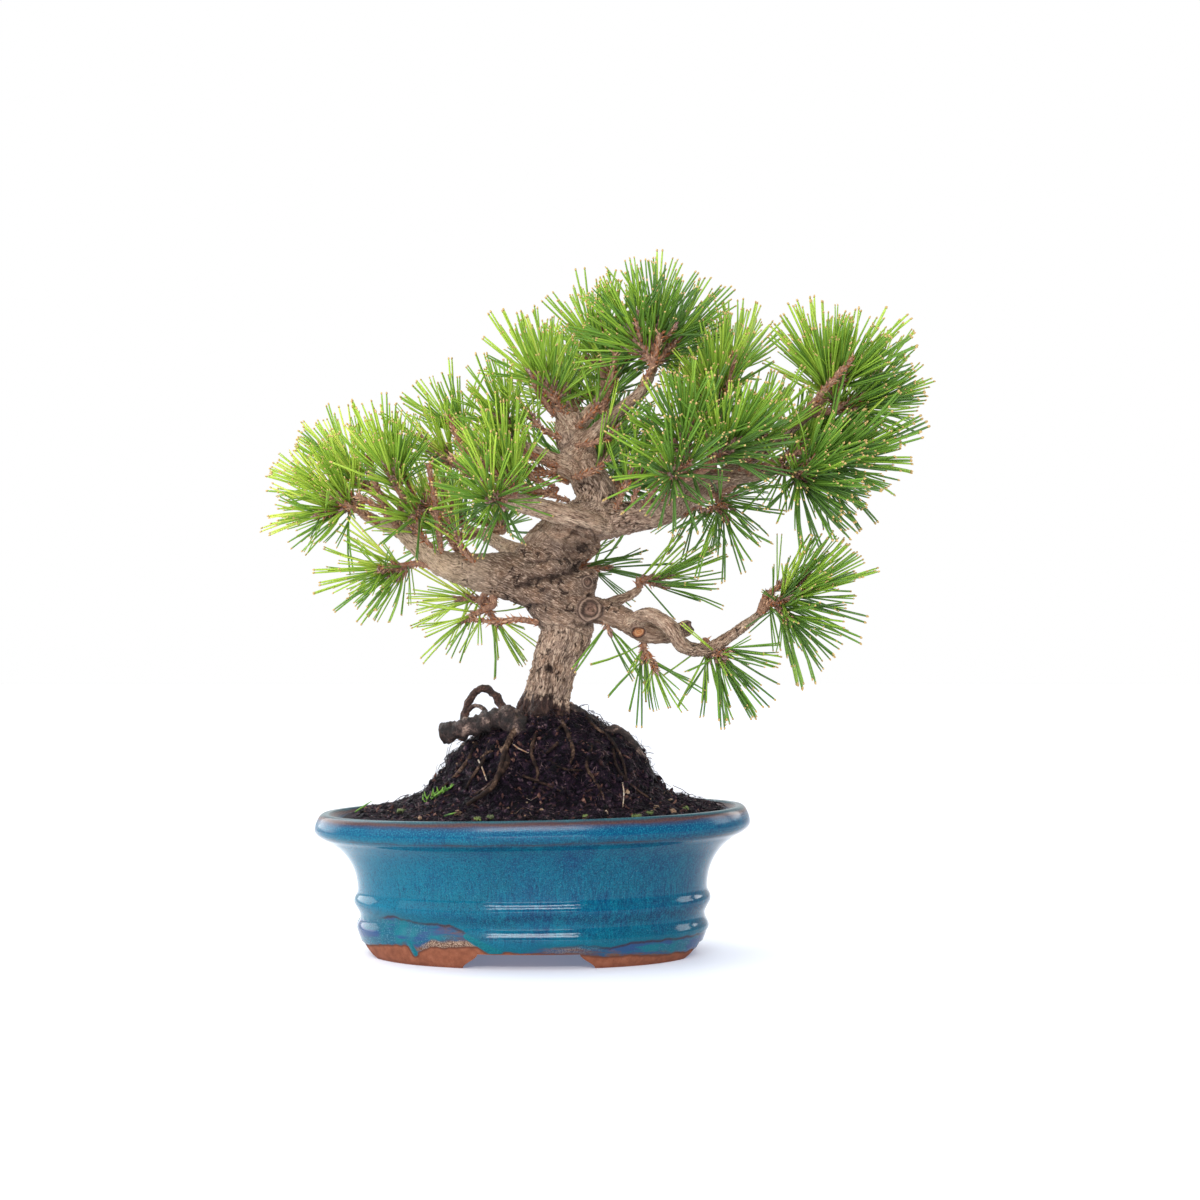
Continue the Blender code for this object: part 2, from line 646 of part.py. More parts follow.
def shoot_body(base, bud, length, draw, share_of):
    """A spindle with needles in a golden-angle spiral; share_of says how much of one may stay."""
    shape = spindle(base, bud)
    axis = (bud - base).normalized()
    side = axis.orthogonal().normalized()
    up = axis.cross(side)
    low, high = NEEDLE_LEANS
    start = draw.uniform(0, math.tau)
    free = set(shape.faces)
    needles = []
    for i in range(NEEDLES_TRIED):
        along = (i + 0.5) / NEEDLES_TRIED
        turn = start + i * GOLDEN_TURN
        out = side * math.cos(turn) + up * math.sin(turn)
        wanted = base.lerp(bud, NEEDLE_START + (1 - NEEDLE_START) * along) + out * SHOOT_RADIUS
        face = min(free, key=lambda f: (f.calc_center_median() - wanted).length)
        free.remove(face)
        foot = face.calc_center_median()
        rise = (foot - base).dot(axis)
        out = (foot - base - axis * rise).normalized()
        lean = low + (high - low) * rise / SHOOT_LENGTH + draw.uniform(-1, 1) * NEEDLE_SCATTER
        lean = math.radians(min(lean, low))
        reach = length * (1 - draw.random() * NEEDLE_SPREAD)
        tip = foot + (axis * math.cos(lean) + out * math.sin(lean)) * reach
        share = share_of(foot, tip)
        if share >= SHORTEST_SHARE:
            needles.append((face, foot.lerp(tip, share)))
    for face, tip in needles:
        draw_out(shape, face, tip)
    return object_of(shape, "shoot")


def mass(name, limbs, bones):
    """One mass: stem, twigs and shoots with their needles, joined into one body."""
    draw = random.Random(f"{SEED} {name}")
    carrier, _, length, _ = MASSES[name]
    stem, twigs, shoots = mass_bones(name)
    obj = loft(name, tube_rings(stem, STEM_SIDES))
    pieces = [loft("twig", tube_rings(line, TWIG_SIDES)) for line in twigs]
    standing = []

    def share_of(foot, tip):
        share = free_share(name, foot, tip, limbs, bones, standing)
        if share >= SHORTEST_SHARE:
            standing.append((foot, foot.lerp(tip, share)))
        return share

    pieces += [shoot_body(base, bud, length, draw, share_of) for base, bud in shoots]
    boolean(obj, "UNION", pieces)
    boolean(obj, "DIFFERENCE", [limb_shape(carrier, GAP)])
    obj.name = name
    finish(obj, NEEDLE)
    print(name, len(standing), "needles")
    return obj


def place_origin(objects):
    """Hang everything on one empty, moved so that the origin is under the middle of it all."""
    corners = [vertex.co for obj in objects for vertex in obj.data.vertices]
    low = [min(corner[i] for corner in corners) for i in range(3)]
    high = [max(corner[i] for corner in corners) for i in range(3)]
    frame = bpy.data.objects.new("bonsai", None)
    bpy.context.scene.collection.objects.link(frame)
    frame.location = (-(low[0] + high[0]) / 2, -(low[1] + high[1]) / 2, -low[2])
    for obj in objects:
        obj.parent = frame
    print("middle of the pot at", [round(value / MM, 2) for value in frame.location], "mm")


def main():
    clear_scene()
    objects = [pot(), soil()]
    objects += [root(name) for name in ROOTS]
    objects += [limb(name) for name in ("trunk", *LIMBS)]
    limbs = limb_segments()
    bones = {name: bone_segments(name) for name in MASSES}
    objects += [mass(name, limbs, bones) for name in MASSES]
    place_origin(objects)


main()
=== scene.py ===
import json
import math
import random

import bmesh
import bpy
import numpy as np
from mathutils import Matrix, Vector, kdtree, noise

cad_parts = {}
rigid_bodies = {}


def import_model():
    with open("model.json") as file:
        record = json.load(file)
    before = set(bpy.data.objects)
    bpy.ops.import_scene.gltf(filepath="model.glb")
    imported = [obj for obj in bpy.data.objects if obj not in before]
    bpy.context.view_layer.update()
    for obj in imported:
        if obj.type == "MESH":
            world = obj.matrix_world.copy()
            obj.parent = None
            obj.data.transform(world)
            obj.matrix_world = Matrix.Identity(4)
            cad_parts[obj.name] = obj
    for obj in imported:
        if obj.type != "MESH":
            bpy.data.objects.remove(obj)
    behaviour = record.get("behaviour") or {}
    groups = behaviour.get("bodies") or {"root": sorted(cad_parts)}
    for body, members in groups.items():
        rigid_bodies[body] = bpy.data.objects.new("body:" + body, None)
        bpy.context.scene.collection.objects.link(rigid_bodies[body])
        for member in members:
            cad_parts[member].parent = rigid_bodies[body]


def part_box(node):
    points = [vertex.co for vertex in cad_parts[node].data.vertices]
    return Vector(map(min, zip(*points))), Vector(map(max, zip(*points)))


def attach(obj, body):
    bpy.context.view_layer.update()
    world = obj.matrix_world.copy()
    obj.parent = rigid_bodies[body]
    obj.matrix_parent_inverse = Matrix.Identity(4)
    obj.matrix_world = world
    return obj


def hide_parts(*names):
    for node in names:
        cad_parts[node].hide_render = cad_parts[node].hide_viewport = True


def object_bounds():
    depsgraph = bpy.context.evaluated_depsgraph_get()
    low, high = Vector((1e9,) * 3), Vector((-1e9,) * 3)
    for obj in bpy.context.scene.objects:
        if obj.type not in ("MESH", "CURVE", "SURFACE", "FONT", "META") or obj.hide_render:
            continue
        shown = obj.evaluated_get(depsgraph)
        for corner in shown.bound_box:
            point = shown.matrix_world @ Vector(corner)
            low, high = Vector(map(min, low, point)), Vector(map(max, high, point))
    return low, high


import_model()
cadLow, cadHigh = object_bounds()
scene = bpy.context.scene

# sizes are millimetres from the middle of the pot on the ground, as in the solids: +X right, +Y back, +Z up
mm = 0.001
potLow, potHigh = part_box("pot")
potMiddle = Vector(((potLow.x + potHigh.x) / 2, (potLow.y + potHigh.y) / 2, 0.0))
goldenTurn = math.radians(137.508)
seed = 41


# meshes

def toWorld(points):
    return np.asarray(points, float) * mm + np.array(potMiddle)


def makeObject(name, points, faces, material=None, smooth=True):
    mesh = bpy.data.meshes.new(name)
    mesh.from_pydata(toWorld(points).tolist(), [], faces)
    mesh.update()
    if smooth:
        mesh.shade_smooth()
    if material:
        mesh.materials.append(material)
    obj = bpy.data.objects.new(name, mesh)
    scene.collection.objects.link(obj)
    return obj


def gridFaces(rings, sides, start=0, closed=True):
    faces = []
    for r in range(rings - 1):
        for k in range(sides if closed else sides - 1):
            a = start + r * sides + k
            b = start + r * sides + (k + 1) % sides
            faces.append((a, b, b + sides, a + sides))
    return faces


def loft(rings):
    sides = len(rings[0])
    points = [p for ring in rings for p in ring]
    faces = gridFaces(len(rings), sides)
    faces.append(tuple(range(sides))[::-1])
    faces.append(tuple(range(len(points) - sides, len(points))))
    return points, faces


def evaluated(obj, name=None):
    graph = bpy.context.evaluated_depsgraph_get()
    mesh = bpy.data.meshes.new_from_object(obj.evaluated_get(graph))
    obj.modifiers.clear()
    obj.data = mesh
    if name:
        obj.name = mesh.name = name
    return obj


def remove(*objects):
    for obj in objects:
        bpy.data.objects.remove(obj, do_unlink=True)


def wear(piece, material, slot, *nodes):
    piece.data.materials.clear()
    piece.data.materials.append(material)
    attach(piece, "root")
    if nodes:
        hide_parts(*nodes)
    return piece


def setAttribute(obj, name, values):
    attribute = obj.data.attributes.new(name, "FLOAT", "POINT")
    attribute.data.foreach_set("value", np.asarray(values, np.float32))


def smoothstep(low, high, value):
    t = min(max((value - low) / (high - low), 0.0), 1.0)
    return t * t * (3 - 2 * t)


def curveThrough(rows, spacing):
    points = [(Vector(row[:3]), row[3]) for row in rows]
    before = points[0][0] * 2 - points[1][0]
    after = points[-1][0] * 2 - points[-2][0]
    spread = [(before, 0.0), *points, (after, 0.0)]
    line = [points[0]]
    for p0, p1, p2, p3 in zip(spread, spread[1:], spread[2:], spread[3:]):
        steps = max(1, round((p2[0] - p1[0]).length / spacing))
        for step in range(1, steps + 1):
            t = step / steps
            weights = (
                (-t + 2 * t**2 - t**3) / 2,
                (2 - 5 * t**2 + 3 * t**3) / 2,
                (t + 4 * t**2 - 3 * t**3) / 2,
                (t**3 - t**2) / 2,
            )
            place = sum((w * p[0] for w, p in zip(weights, (p0, p1, p2, p3))), Vector())
            line.append((place, p1[1] + (p2[1] - p1[1]) * t))
    return line


def tubeRings(line, sides, relief=None):
    rings = []
    heading = (line[1][0] - line[0][0]).normalized()
    side = heading.orthogonal().normalized()
    last = len(line) - 1
    for i, (place, radius) in enumerate(line):
        turned = (line[min(i + 1, last)][0] - line[max(i - 1, 0)][0]).normalized()
        side = (heading.rotation_difference(turned) @ side).normalized()
        heading = turned
        up = heading.cross(side)
        ring = []
        for k in range(sides):
            turn = math.tau * k / sides
            out = side * math.cos(turn) + up * math.sin(turn)
            shape = relief(place, out, turn) if relief else 1.0
            ring.append(place + out * radius * shape)
        rings.append(ring)
    return rings


# materials

def newMaterial(name):
    material = bpy.data.materials.new(name)
    material.use_nodes = True
    tree = material.node_tree
    return material, tree, tree.nodes["Principled BSDF"]


def addNode(tree, kind, inputs=None, **settings):
    node = tree.nodes.new(kind)
    for key, value in settings.items():
        setattr(node, key, value)
    for key, value in (inputs or {}).items():
        if isinstance(key, str):
            socket = next(s for s in node.inputs if s.name == key and s.enabled)
        else:
            socket = node.inputs[key]
        if isinstance(value, bpy.types.NodeSocket):
            tree.links.new(value, socket)
        else:
            socket.default_value = value
    return node


def objectPlace(tree, scale=(1, 1, 1)):
    place = addNode(tree, "ShaderNodeTexCoord").outputs["Object"]
    return addNode(tree, "ShaderNodeMapping", {"Vector": place, "Scale": scale}).outputs["Vector"]


def noiseOf(tree, place, scale, detail=3.0, roughness=0.55):
    node = addNode(tree, "ShaderNodeTexNoise", {
        "Vector": place, "Scale": scale, "Detail": detail, "Roughness": roughness})
    return node.outputs["Fac"]


def ramp(tree, value, stops):
    node = addNode(tree, "ShaderNodeValToRGB", {"Fac": value})
    elements = node.color_ramp.elements
    while len(elements) < len(stops):
        elements.new(0.5)
    for element, (position, colour) in zip(elements, stops):
        element.position = position
        element.color = (*colour, 1.0)
    return node.outputs["Color"]


def mixColour(tree, amount, first, second, blend="MIX"):
    node = addNode(tree, "ShaderNodeMix", data_type="RGBA", blend_type=blend)
    for socket, value in ((node.inputs[0], amount), (node.inputs[6], first), (node.inputs[7], second)):
        if isinstance(value, bpy.types.NodeSocket):
            tree.links.new(value, socket)
        else:
            socket.default_value = (*value, 1.0) if isinstance(value, tuple) else value
    return node.outputs[2]


def attributeOf(tree, name):
    return addNode(tree, "ShaderNodeAttribute", attribute_name=name).outputs["Fac"]


def mapped(tree, value, low, high, newLow=0.0, newHigh=1.0):
    return addNode(tree, "ShaderNodeMapRange", {
        "Value": value, "From Min": low, "From Max": high, "To Min": newLow, "To Max": newHigh}).outputs[0]


def bumpOf(tree, height, distance, strength=1.0):
    return addNode(tree, "ShaderNodeBump", {
        "Height": height, "Distance": distance, "Strength": strength}).outputs["Normal"]


# camera and light
view = {
    "place": (37.52, -1150.0, 167.0),
    "rise": 1.4446,  # degrees
    "lens": 61.6,
    "sensor": 36.0,
}

camera = bpy.data.objects.new("camera", bpy.data.cameras.new("camera"))
scene.collection.objects.link(camera)
camera.location = toWorld(view["place"])
camera.rotation_euler = (math.radians(90 + view["rise"]), 0, 0)
camera.data.lens = view["lens"]
camera.data.sensor_width = view["sensor"]
camera.data.clip_start = 0.05
camera.data.clip_end = 20
scene.camera = camera

light = {
    "white": 1.0,   # the studio's sides, back and ceiling
    "front": 0.12,  # its dim front, behind the camera
    "right": 0.5,   # its shaded right side
    # name: bearing from the camera's side (degrees to the right), climb, distance, width, height, power in watts
    "lamps": {
        "softbox": (-1, 24, 1250, 0.8, 0.13, 9.0),
        "low_box": (-1, -1, 1250, 0.8, 0.12, 2.4),
        "key": (-46, 30, 1250, 1.5, 1.3, 9.5),
        "left": (-125, 24, 1000, 0.7, 1.0, 7.0),
        "right": (102, 14, 950, 0.3, 0.3, 1.7),
        "far_right": (127, 14, 950, 0.3, 0.3, 1.7),
    },
    "ceiling": (1.9, 80.0),  # strength and spread in degrees of the even light from above
    "target": (15.0, 0.0, 170.0),
}

world = bpy.data.worlds.new("studio")
world.use_nodes = True
tree = world.node_tree
background = tree.nodes["Background"]
towards = addNode(tree, "ShaderNodeSeparateXYZ", {0: addNode(tree, "ShaderNodeTexCoord").outputs["Generated"]})
brightness = addNode(tree, "ShaderNodeMapRange", {
    "Value": towards.outputs["Y"], "From Min": -0.9, "From Max": -0.05,
    "To Min": light["front"], "To Max": light["white"]}, interpolation_type="SMOOTHSTEP").outputs[0]
shaded = mapped(tree, towards.outputs["X"], 0.4, 0.9, 1.0, light["right"])
brightness = addNode(tree, "ShaderNodeMath", {0: brightness, 1: shaded}, operation="MULTIPLY").outputs[0]
tree.links.new(brightness, background.inputs["Strength"])
background.inputs["Color"].default_value = (1, 1, 1, 1)
scene.world = world
scene.view_settings.view_transform = "Standard"
for name, (bearing, climb, distance, width, height, power) in light["lamps"].items():
    lamp = bpy.data.objects.new(name, bpy.data.lights.new(name, "AREA"))
    scene.collection.objects.link(lamp)
    lamp.data.shape = "RECTANGLE"
    lamp.data.size, lamp.data.size_y = width, height
    lamp.data.energy = power
    turn, rise = math.radians(bearing), math.radians(climb)
    away = Vector((math.sin(turn) * math.cos(rise), -math.cos(turn) * math.cos(rise), math.sin(rise)))
    lamp.location = toWorld(Vector(light["target"]) + away * distance)
    lamp.rotation_euler = away.to_track_quat("Z", "Y").to_euler()

ceiling = bpy.data.objects.new("ceiling", bpy.data.lights.new("ceiling", "SUN"))
scene.collection.objects.link(ceiling)
ceiling.data.energy = light["ceiling"][0]
ceiling.data.angle = math.radians(light["ceiling"][1])
ceiling.rotation_euler = (math.radians(-14), math.radians(-12), 0)

floorSize = 9000
floor = makeObject("floor", [
    (-floorSize, -floorSize, 0), (floorSize, -floorSize, 0), (floorSize, floorSize, 0),
    (-floorSize, floorSize, 0)], [(0, 1, 2, 3)])
floorMaterial, tree, shader = newMaterial("floor")
shader.inputs["Base Color"].default_value = (0.66, 0.66, 0.67, 1)
shader.inputs["Roughness"].default_value = 0.6
# a light table, so the floor is pale in the shade below the pot too
shader.inputs["Emission Color"].default_value = (0.74, 0.90, 1.30, 1)
shader.inputs["Emission Strength"].default_value = 0.19
floor.data.materials.append(floorMaterial)
print("camera, light and floor")


# pot
pot = {
    "depthShare": 0.73,
    "squareness": 2.15,
    "height": 79.5,
    "warp": 0.02,
    "sides": 520,
    "step": 0.8,
    # height and half width up the outside, then down the inside
    "wall": (
        (0.0, 91.0), (2.5, 93.2), (8.0, 95.6), (14.5, 98.0), (17.0, 97.7), (20.0, 96.3), (23.0, 96.0), (26.5, 97.7),
        (29.5, 99.2), (32.0, 98.9), (35.0, 97.5), (39.0, 97.4), (46.0, 98.7), (52.5, 101.6), (58.5, 106.2),
        (63.5, 112.6), (66.5, 118.0), (69.5, 120.9), (73.0, 120.8), (76.5, 119.5), (78.5, 118.3), (79.5, 117.0)),
    "hollow": ((79.5, 113.5), (77.0, 111.0), (64.0, 104.0), (50.0, 94.0), (32.0, 90.0), (19.0, 86.0)),
    "footHeight": 8.0,
    "footRing": 13.0,
    "frontNotch": (35.0, 27.0),
    "sideNotch": (27.0, 20.0),
}


def oval(height, halfWidth, halfDepth, sides, middle=0.0):
    ring = []
    power = 2 / pot["squareness"]
    for i in range(sides):
        turn = math.tau * i / sides
        across = math.copysign(abs(math.cos(turn)) ** power, math.cos(turn))
        along = math.copysign(abs(math.sin(turn)) ** power, math.sin(turn))
        x = middle + halfWidth * across
        warp = pot["warp"] * x * min(height / pot["height"], 1.0)
        ring.append(Vector((x, halfDepth * along, height + warp)))
    return ring


def smoothRows(rows, step):
    line = curveThrough([(half, 0.0, height, 0.0) for height, half in rows], step)
    return [(place.z, place.x) for place, _ in line]


def block(halfLengths, reach, name):
    low, high = halfLengths
    top = pot["footHeight"]
    outline = [(-5.0, low)]
    for i in range(9):
        t = i / 8
        outline.append((top * t, low - (low - high) * smoothstep(0.0, 1.0, t)))
    points, faces = loft([
        [Vector((x, y, z)) for x, y in ((-half, -reach), (half, -reach), (half, reach), (-half, reach))]
        for z, half in outline])
    return points, faces


def cut(obj, cutters):
    for cutter in cutters:
        modifier = obj.modifiers.new("cut", "BOOLEAN")
        modifier.operation = "DIFFERENCE"
        modifier.object = cutter
        modifier.solver = "EXACT"
    evaluated(obj)
    remove(*cutters)


# where the glazes end on the front: x and height in the picture's plane, and the wobble round the rest
glaze = {
    "clay": ((-100, 6.5), (-90, 7.2), (-77, 10.1), (-66, 11.4), (-62.5, 9.6), (-59.5, 7.0), (-56, 9.2), (-52, 11.2),
             (-30, 11.6), (-26, 12.0), (-21, 11.0), (-15, 9.6), (-8, 9.0), (0, 8.8), (24, 8.8), (29.6, 7.2), (38.6, 6.2), (56, 6.2), (69, 5.4), (83, 5.0),
             (93, 4.4), (100, 4.4)),
    "thick": ((-100, 19.0), (-88, 21.0), (-82, 23.5), (-79, 24.6), (-73.2, 26.5), (-66, 25.0), (-60, 23.5), (-48.6, 23.5),
              (-42.3, 23.2), (-35.5, 20.4), (-30.7, 16.3), (-24.4, 12.1), (-17.6, 8.9), (-5, 8.6), (2, 10.5),
              (8.6, 12.0), (28, 13.0), (42.8, 11.5), (58.6, 13.7), (78.6, 13.8), (91.8, 13.6), (100, 13.5)),
    "brown": ((-100, 0.0), (-72, 0.1), (-62, 0.4), (-52, 0.8), (-34, 1.0), (-26, 0.7), (-18, 0.0), (0, 0.0), (8, 0.5),
              (22, 0.6), (42, 0.35), (52, 0.0), (100, 0.0)),
    "back": 12.0,
    "wobble": 1.5,
    "thickness": 0.5,
    # how strongly the thick glaze's edge shows as a thin brown line
    "seam": ((-100, 0.0), (-82, 0.0), (-78, 0.9), (-34, 0.8), (-29, 0.2), (-5, 0.0), (10, 0.4), (40, 0.8), (90, 0.9), (100, 0.6)),
    # drips of the thick glaze: x and height where each starts and ends, and its half width there
    "drips": (
        ((-63.8, 12.5), (-60.5, 6.6), 1.4, 1.5), ((-33.0, 17.5), (-24.7, 13.1), 1.3, 2.0),
        ((-24.7, 13.1), (-18.9, 9.8), 2.0, 2.4), ((-18.9, 9.8), (-14.5, 9.5), 2.4, 1.3)),
}


def edgeHeight(name, x, y):
    stray = noise.noise(Vector((x / 7, y / 7, 3.0))) + 0.5 * noise.noise(Vector((x / 2.5, y / 2.5, 7.0)))
    line = glaze[name]
    if y > 0:
        level = glaze["back"] + 4 * max(0.0, noise.noise(Vector((x / 14, y / 14, len(name)))))
        level -= 3.5 if name == "clay" else 0.0
    else:
        level = float(np.interp(x, [p[0] for p in line], [p[1] for p in line]))
    return level + glaze["wobble"] * stray * 0.6


def insideDrip(p):
    deepest = -9.0
    for (x0, z0), (x1, z1), wide0, wide1 in glaze["drips"] if p.y < 0 else ():
        t = min(max(((p.x - x0) * (x1 - x0) + (p.z - z0) * (z1 - z0)) / ((x1 - x0) ** 2 + (z1 - z0) ** 2), 0.0), 1.0)
        off = math.hypot(p.x - x0 - t * (x1 - x0), p.z - z0 - t * (z1 - z0))
        deepest = max(deepest, 1.2 * (wide0 + (wide1 - wide0) * t - off))
    return deepest


def aboveEdge(name, p):
    return max(p.z - edgeHeight(name, p.x, p.y), insideDrip(p))


def makePot():
    sides = pot["sides"]
    outside = smoothRows(pot["wall"], pot["step"])
    inside = smoothRows(pot["hollow"], 3.0)
    rings = [oval(z, half, half * pot["depthShare"], sides) for z, half in outside]
    for ring, (z, half) in zip(rings, outside):
        for p in ring:
            clay = smoothstep(-0.4, 0.9, aboveEdge("clay", p))
            thick = smoothstep(-0.3, 1.4, aboveEdge("thick", p))
            grow = 1 + glaze["thickness"] * (clay + thick - 2) / half
            p.x, p.y = p.x * grow, p.y * grow
    rings += [oval(z, half, half * pot["depthShare"], sides) for z, half in inside]
    points, faces = loft(rings)
    obj = makeObject("pot_body", points, faces)
    inner = pot["wall"][0][1] - pot["footRing"]
    recess = makeObject("recess", *loft([
        oval(z, inner, inner * pot["depthShare"], 96) for z in (-5.0, pot["footHeight"])]), smooth=False)
    front = makeObject("front", *block(pot["frontNotch"], 121.0, "front"), smooth=False)
    points, faces = block(pot["sideNotch"], 121.0, "side")
    side = makeObject("side", [Vector((-p.y, p.x, p.z)) for p in points], faces, smooth=False)
    cut(obj, [recess, front, side])
    obj.data.shade_smooth()
    obj.data.set_sharp_from_angle(angle=math.radians(42))
    clay, thick, level, brown, seam, drip = [], [], [], [], [], []
    for vertex in obj.data.vertices:
        p = (vertex.co - potMiddle) / mm
        height = p.z - pot["warp"] * p.x * min(p.z / pot["height"], 1.0)
        under = p.z < pot["footHeight"] + 0.2 and abs(vertex.normal.z) > 0.8
        inside = height > 30 and Vector((p.x, p.y, 0)).dot(vertex.normal) < 0
        clay.append(-3.0 if under else 20.0 if inside else aboveEdge("clay", p))
        thick.append(20.0 if inside else aboveEdge("thick", p))
        above = p.z - edgeHeight("thick", p.x, p.y)
        strength = float(np.interp(p.x, [row[0] for row in glaze["seam"]], [row[1] for row in glaze["seam"]])) if p.y < 0 else 0.3
        seam.append(0.0 if inside or thick[-1] > above + 0.2 else strength * math.exp(-(((above + 0.5) / 0.8) ** 2)))
        drip.append(insideDrip(p))
        level.append(height / pot["height"])
        share = float(np.interp(p.x, [row[0] for row in glaze["brown"]], [row[1] for row in glaze["brown"]]))
        brown.append(share if p.y < 0 else 0.5 + noise.noise(Vector((p.x / 16, p.y / 16, 4.0))))
    setAttribute(obj, "clay", clay)
    setAttribute(obj, "thick", thick)
    setAttribute(obj, "level", level)
    setAttribute(obj, "brown", brown)
    setAttribute(obj, "seam", seam)
    setAttribute(obj, "drip", drip)
    return obj


def glazeMaterial():
    material, tree, shader = newMaterial("glaze")
    level = attributeOf(tree, "level")
    place = objectPlace(tree)
    streaks = noiseOf(tree, objectPlace(tree, (1, 1, 0.13)), 1000, 4, 0.6)
    runs = noiseOf(tree, objectPlace(tree, (1, 1, 0.25)), 95, 4, 0.65)
    bands = noiseOf(tree, objectPlace(tree, (0.22, 0.22, 1)), 150, 4, 0.6)
    clouds = noiseOf(tree, place, 42, 4, 0.6)
    grains = noiseOf(tree, place, 1500, 2, 0.6)
    specks = noiseOf(tree, place, 2600, 1, 0.5)

    def added(first, second):
        return addNode(tree, "ShaderNodeMath", {0: first, 1: second}, operation="ADD").outputs[0]

    shifted = added(level, mapped(tree, clouds, 0.3, 0.7, -0.03, 0.03))
    # the body's dark stop at level 0.835 is painted shade in the neck under the lip
    body = ramp(tree, shifted, (
        (0.0, (0.003, 0.080, 0.12)), (0.12, (0.003, 0.10, 0.15)), (0.17, (0.003, 0.115, 0.19)), (0.22, (0.005, 0.060, 0.12)),
        (0.275, (0.003, 0.105, 0.185)), (0.33, (0.003, 0.040, 0.090)), (0.38, (0.003, 0.080, 0.16)),
        (0.45, (0.003, 0.078, 0.155)), (0.55, (0.003, 0.078, 0.145)), (0.78, (0.003, 0.076, 0.138)), (0.835, (0.004, 0.045, 0.085)),
        (0.86, (0.004, 0.070, 0.125)), (0.93, (0.003, 0.070, 0.14)), (1.0, (0.003, 0.070, 0.12))))
    colour = mixColour(tree, mapped(tree, runs, 0.48, 0.68, 0.0, 0.75), body, (0.005, 0.034, 0.105))
    colour = mixColour(tree, mapped(tree, runs, 0.44, 0.30, 0.0, 0.7), colour, (0.004, 0.135, 0.20))
    colour = mixColour(tree, mapped(tree, clouds, 0.5, 0.7, 0.0, 0.6), colour, (0.003, 0.100, 0.145))
    # painted light: the glaze is painted paler towards the left and deeper towards the right, as if lit from the left
    across = addNode(tree, "ShaderNodeSeparateXYZ", {0: place}).outputs["X"]
    colour = mixColour(tree, mapped(tree, across, -0.06, -0.13, 0.0, 0.6), colour, (0.006, 0.17, 0.26))
    colour = mixColour(tree, mapped(tree, across, -0.03, 0.05, 0.0, 0.4), colour, (0.002, 0.045, 0.095))
    colour = mixColour(tree, mapped(tree, streaks, 0.5, 0.68, 0.0, 0.7), colour, (0.004, 0.130, 0.20))
    colour = mixColour(tree, mapped(tree, streaks, 0.47, 0.33, 0.0, 0.6), colour, (0.003, 0.028, 0.082))
    colour = mixColour(tree, mapped(tree, grains, 0.48, 0.34, 0.0, 0.6), colour, (0.002, 0.026, 0.062))
    colour = mixColour(tree, mapped(tree, grains, 0.54, 0.68, 0.0, 0.5), colour, (0.010, 0.17, 0.26))
    colour = mixColour(tree, mapped(tree, specks, 0.70, 0.76, 0.0, 0.45), colour, (0.16, 0.32, 0.40))
    # painted shade: a dark line in the neck, under the lip's overhang; and the lip's edge, where the glaze is thin and
    # brown
    neck = added(level, mapped(tree, clouds, 0.3, 0.7, -0.008, 0.008))
    neckShade = ramp(tree, mapped(tree, neck, 0.82, 0.87), (
        (0.0, (0, 0, 0)), (0.35, (0.3, 0.3, 0.3)), (0.5, (1, 1, 1)), (0.62, (0.3, 0.3, 0.3)), (1.0, (0, 0, 0))))
    neckShade = addNode(tree, "ShaderNodeMath", {0: neckShade, 1: mapped(tree, bands, 0.35, 0.6, 0.1, 0.9)}, operation="MULTIPLY").outputs[0]
    colour = mixColour(tree, neckShade, colour, (0.035, 0.025, 0.035))
    # the lip is deep blue with turquoise spots
    mottled = mixColour(tree, mapped(tree, grains, 0.5, 0.62, 0.0, 0.8), (0.003, 0.050, 0.125), (0.008, 0.17, 0.25))
    colour = mixColour(tree, mapped(tree, level, 0.865, 0.90, 0.0, 0.7), colour, mottled)
    edge = added(level, mapped(tree, bands, 0.3, 0.7, -0.008, 0.008))
    lip = ramp(tree, mapped(tree, edge, 0.93, 1.0), (
        (0.0, (0.012, 0.05, 0.12)), (0.45, (0.03, 0.045, 0.09)), (0.62, (0.085, 0.034, 0.024)), (0.76, (0.060, 0.026, 0.022)),
        (0.88, (0.018, 0.055, 0.07)), (1.0, (0.02, 0.09, 0.11))))
    lip = mixColour(tree, mapped(tree, grains, 0.5, 0.35, 0.0, 0.6), lip, (0.03, 0.025, 0.04))
    colour = mixColour(tree, mapped(tree, edge, 0.935, 0.96, 0.0, 0.92), colour, lip)
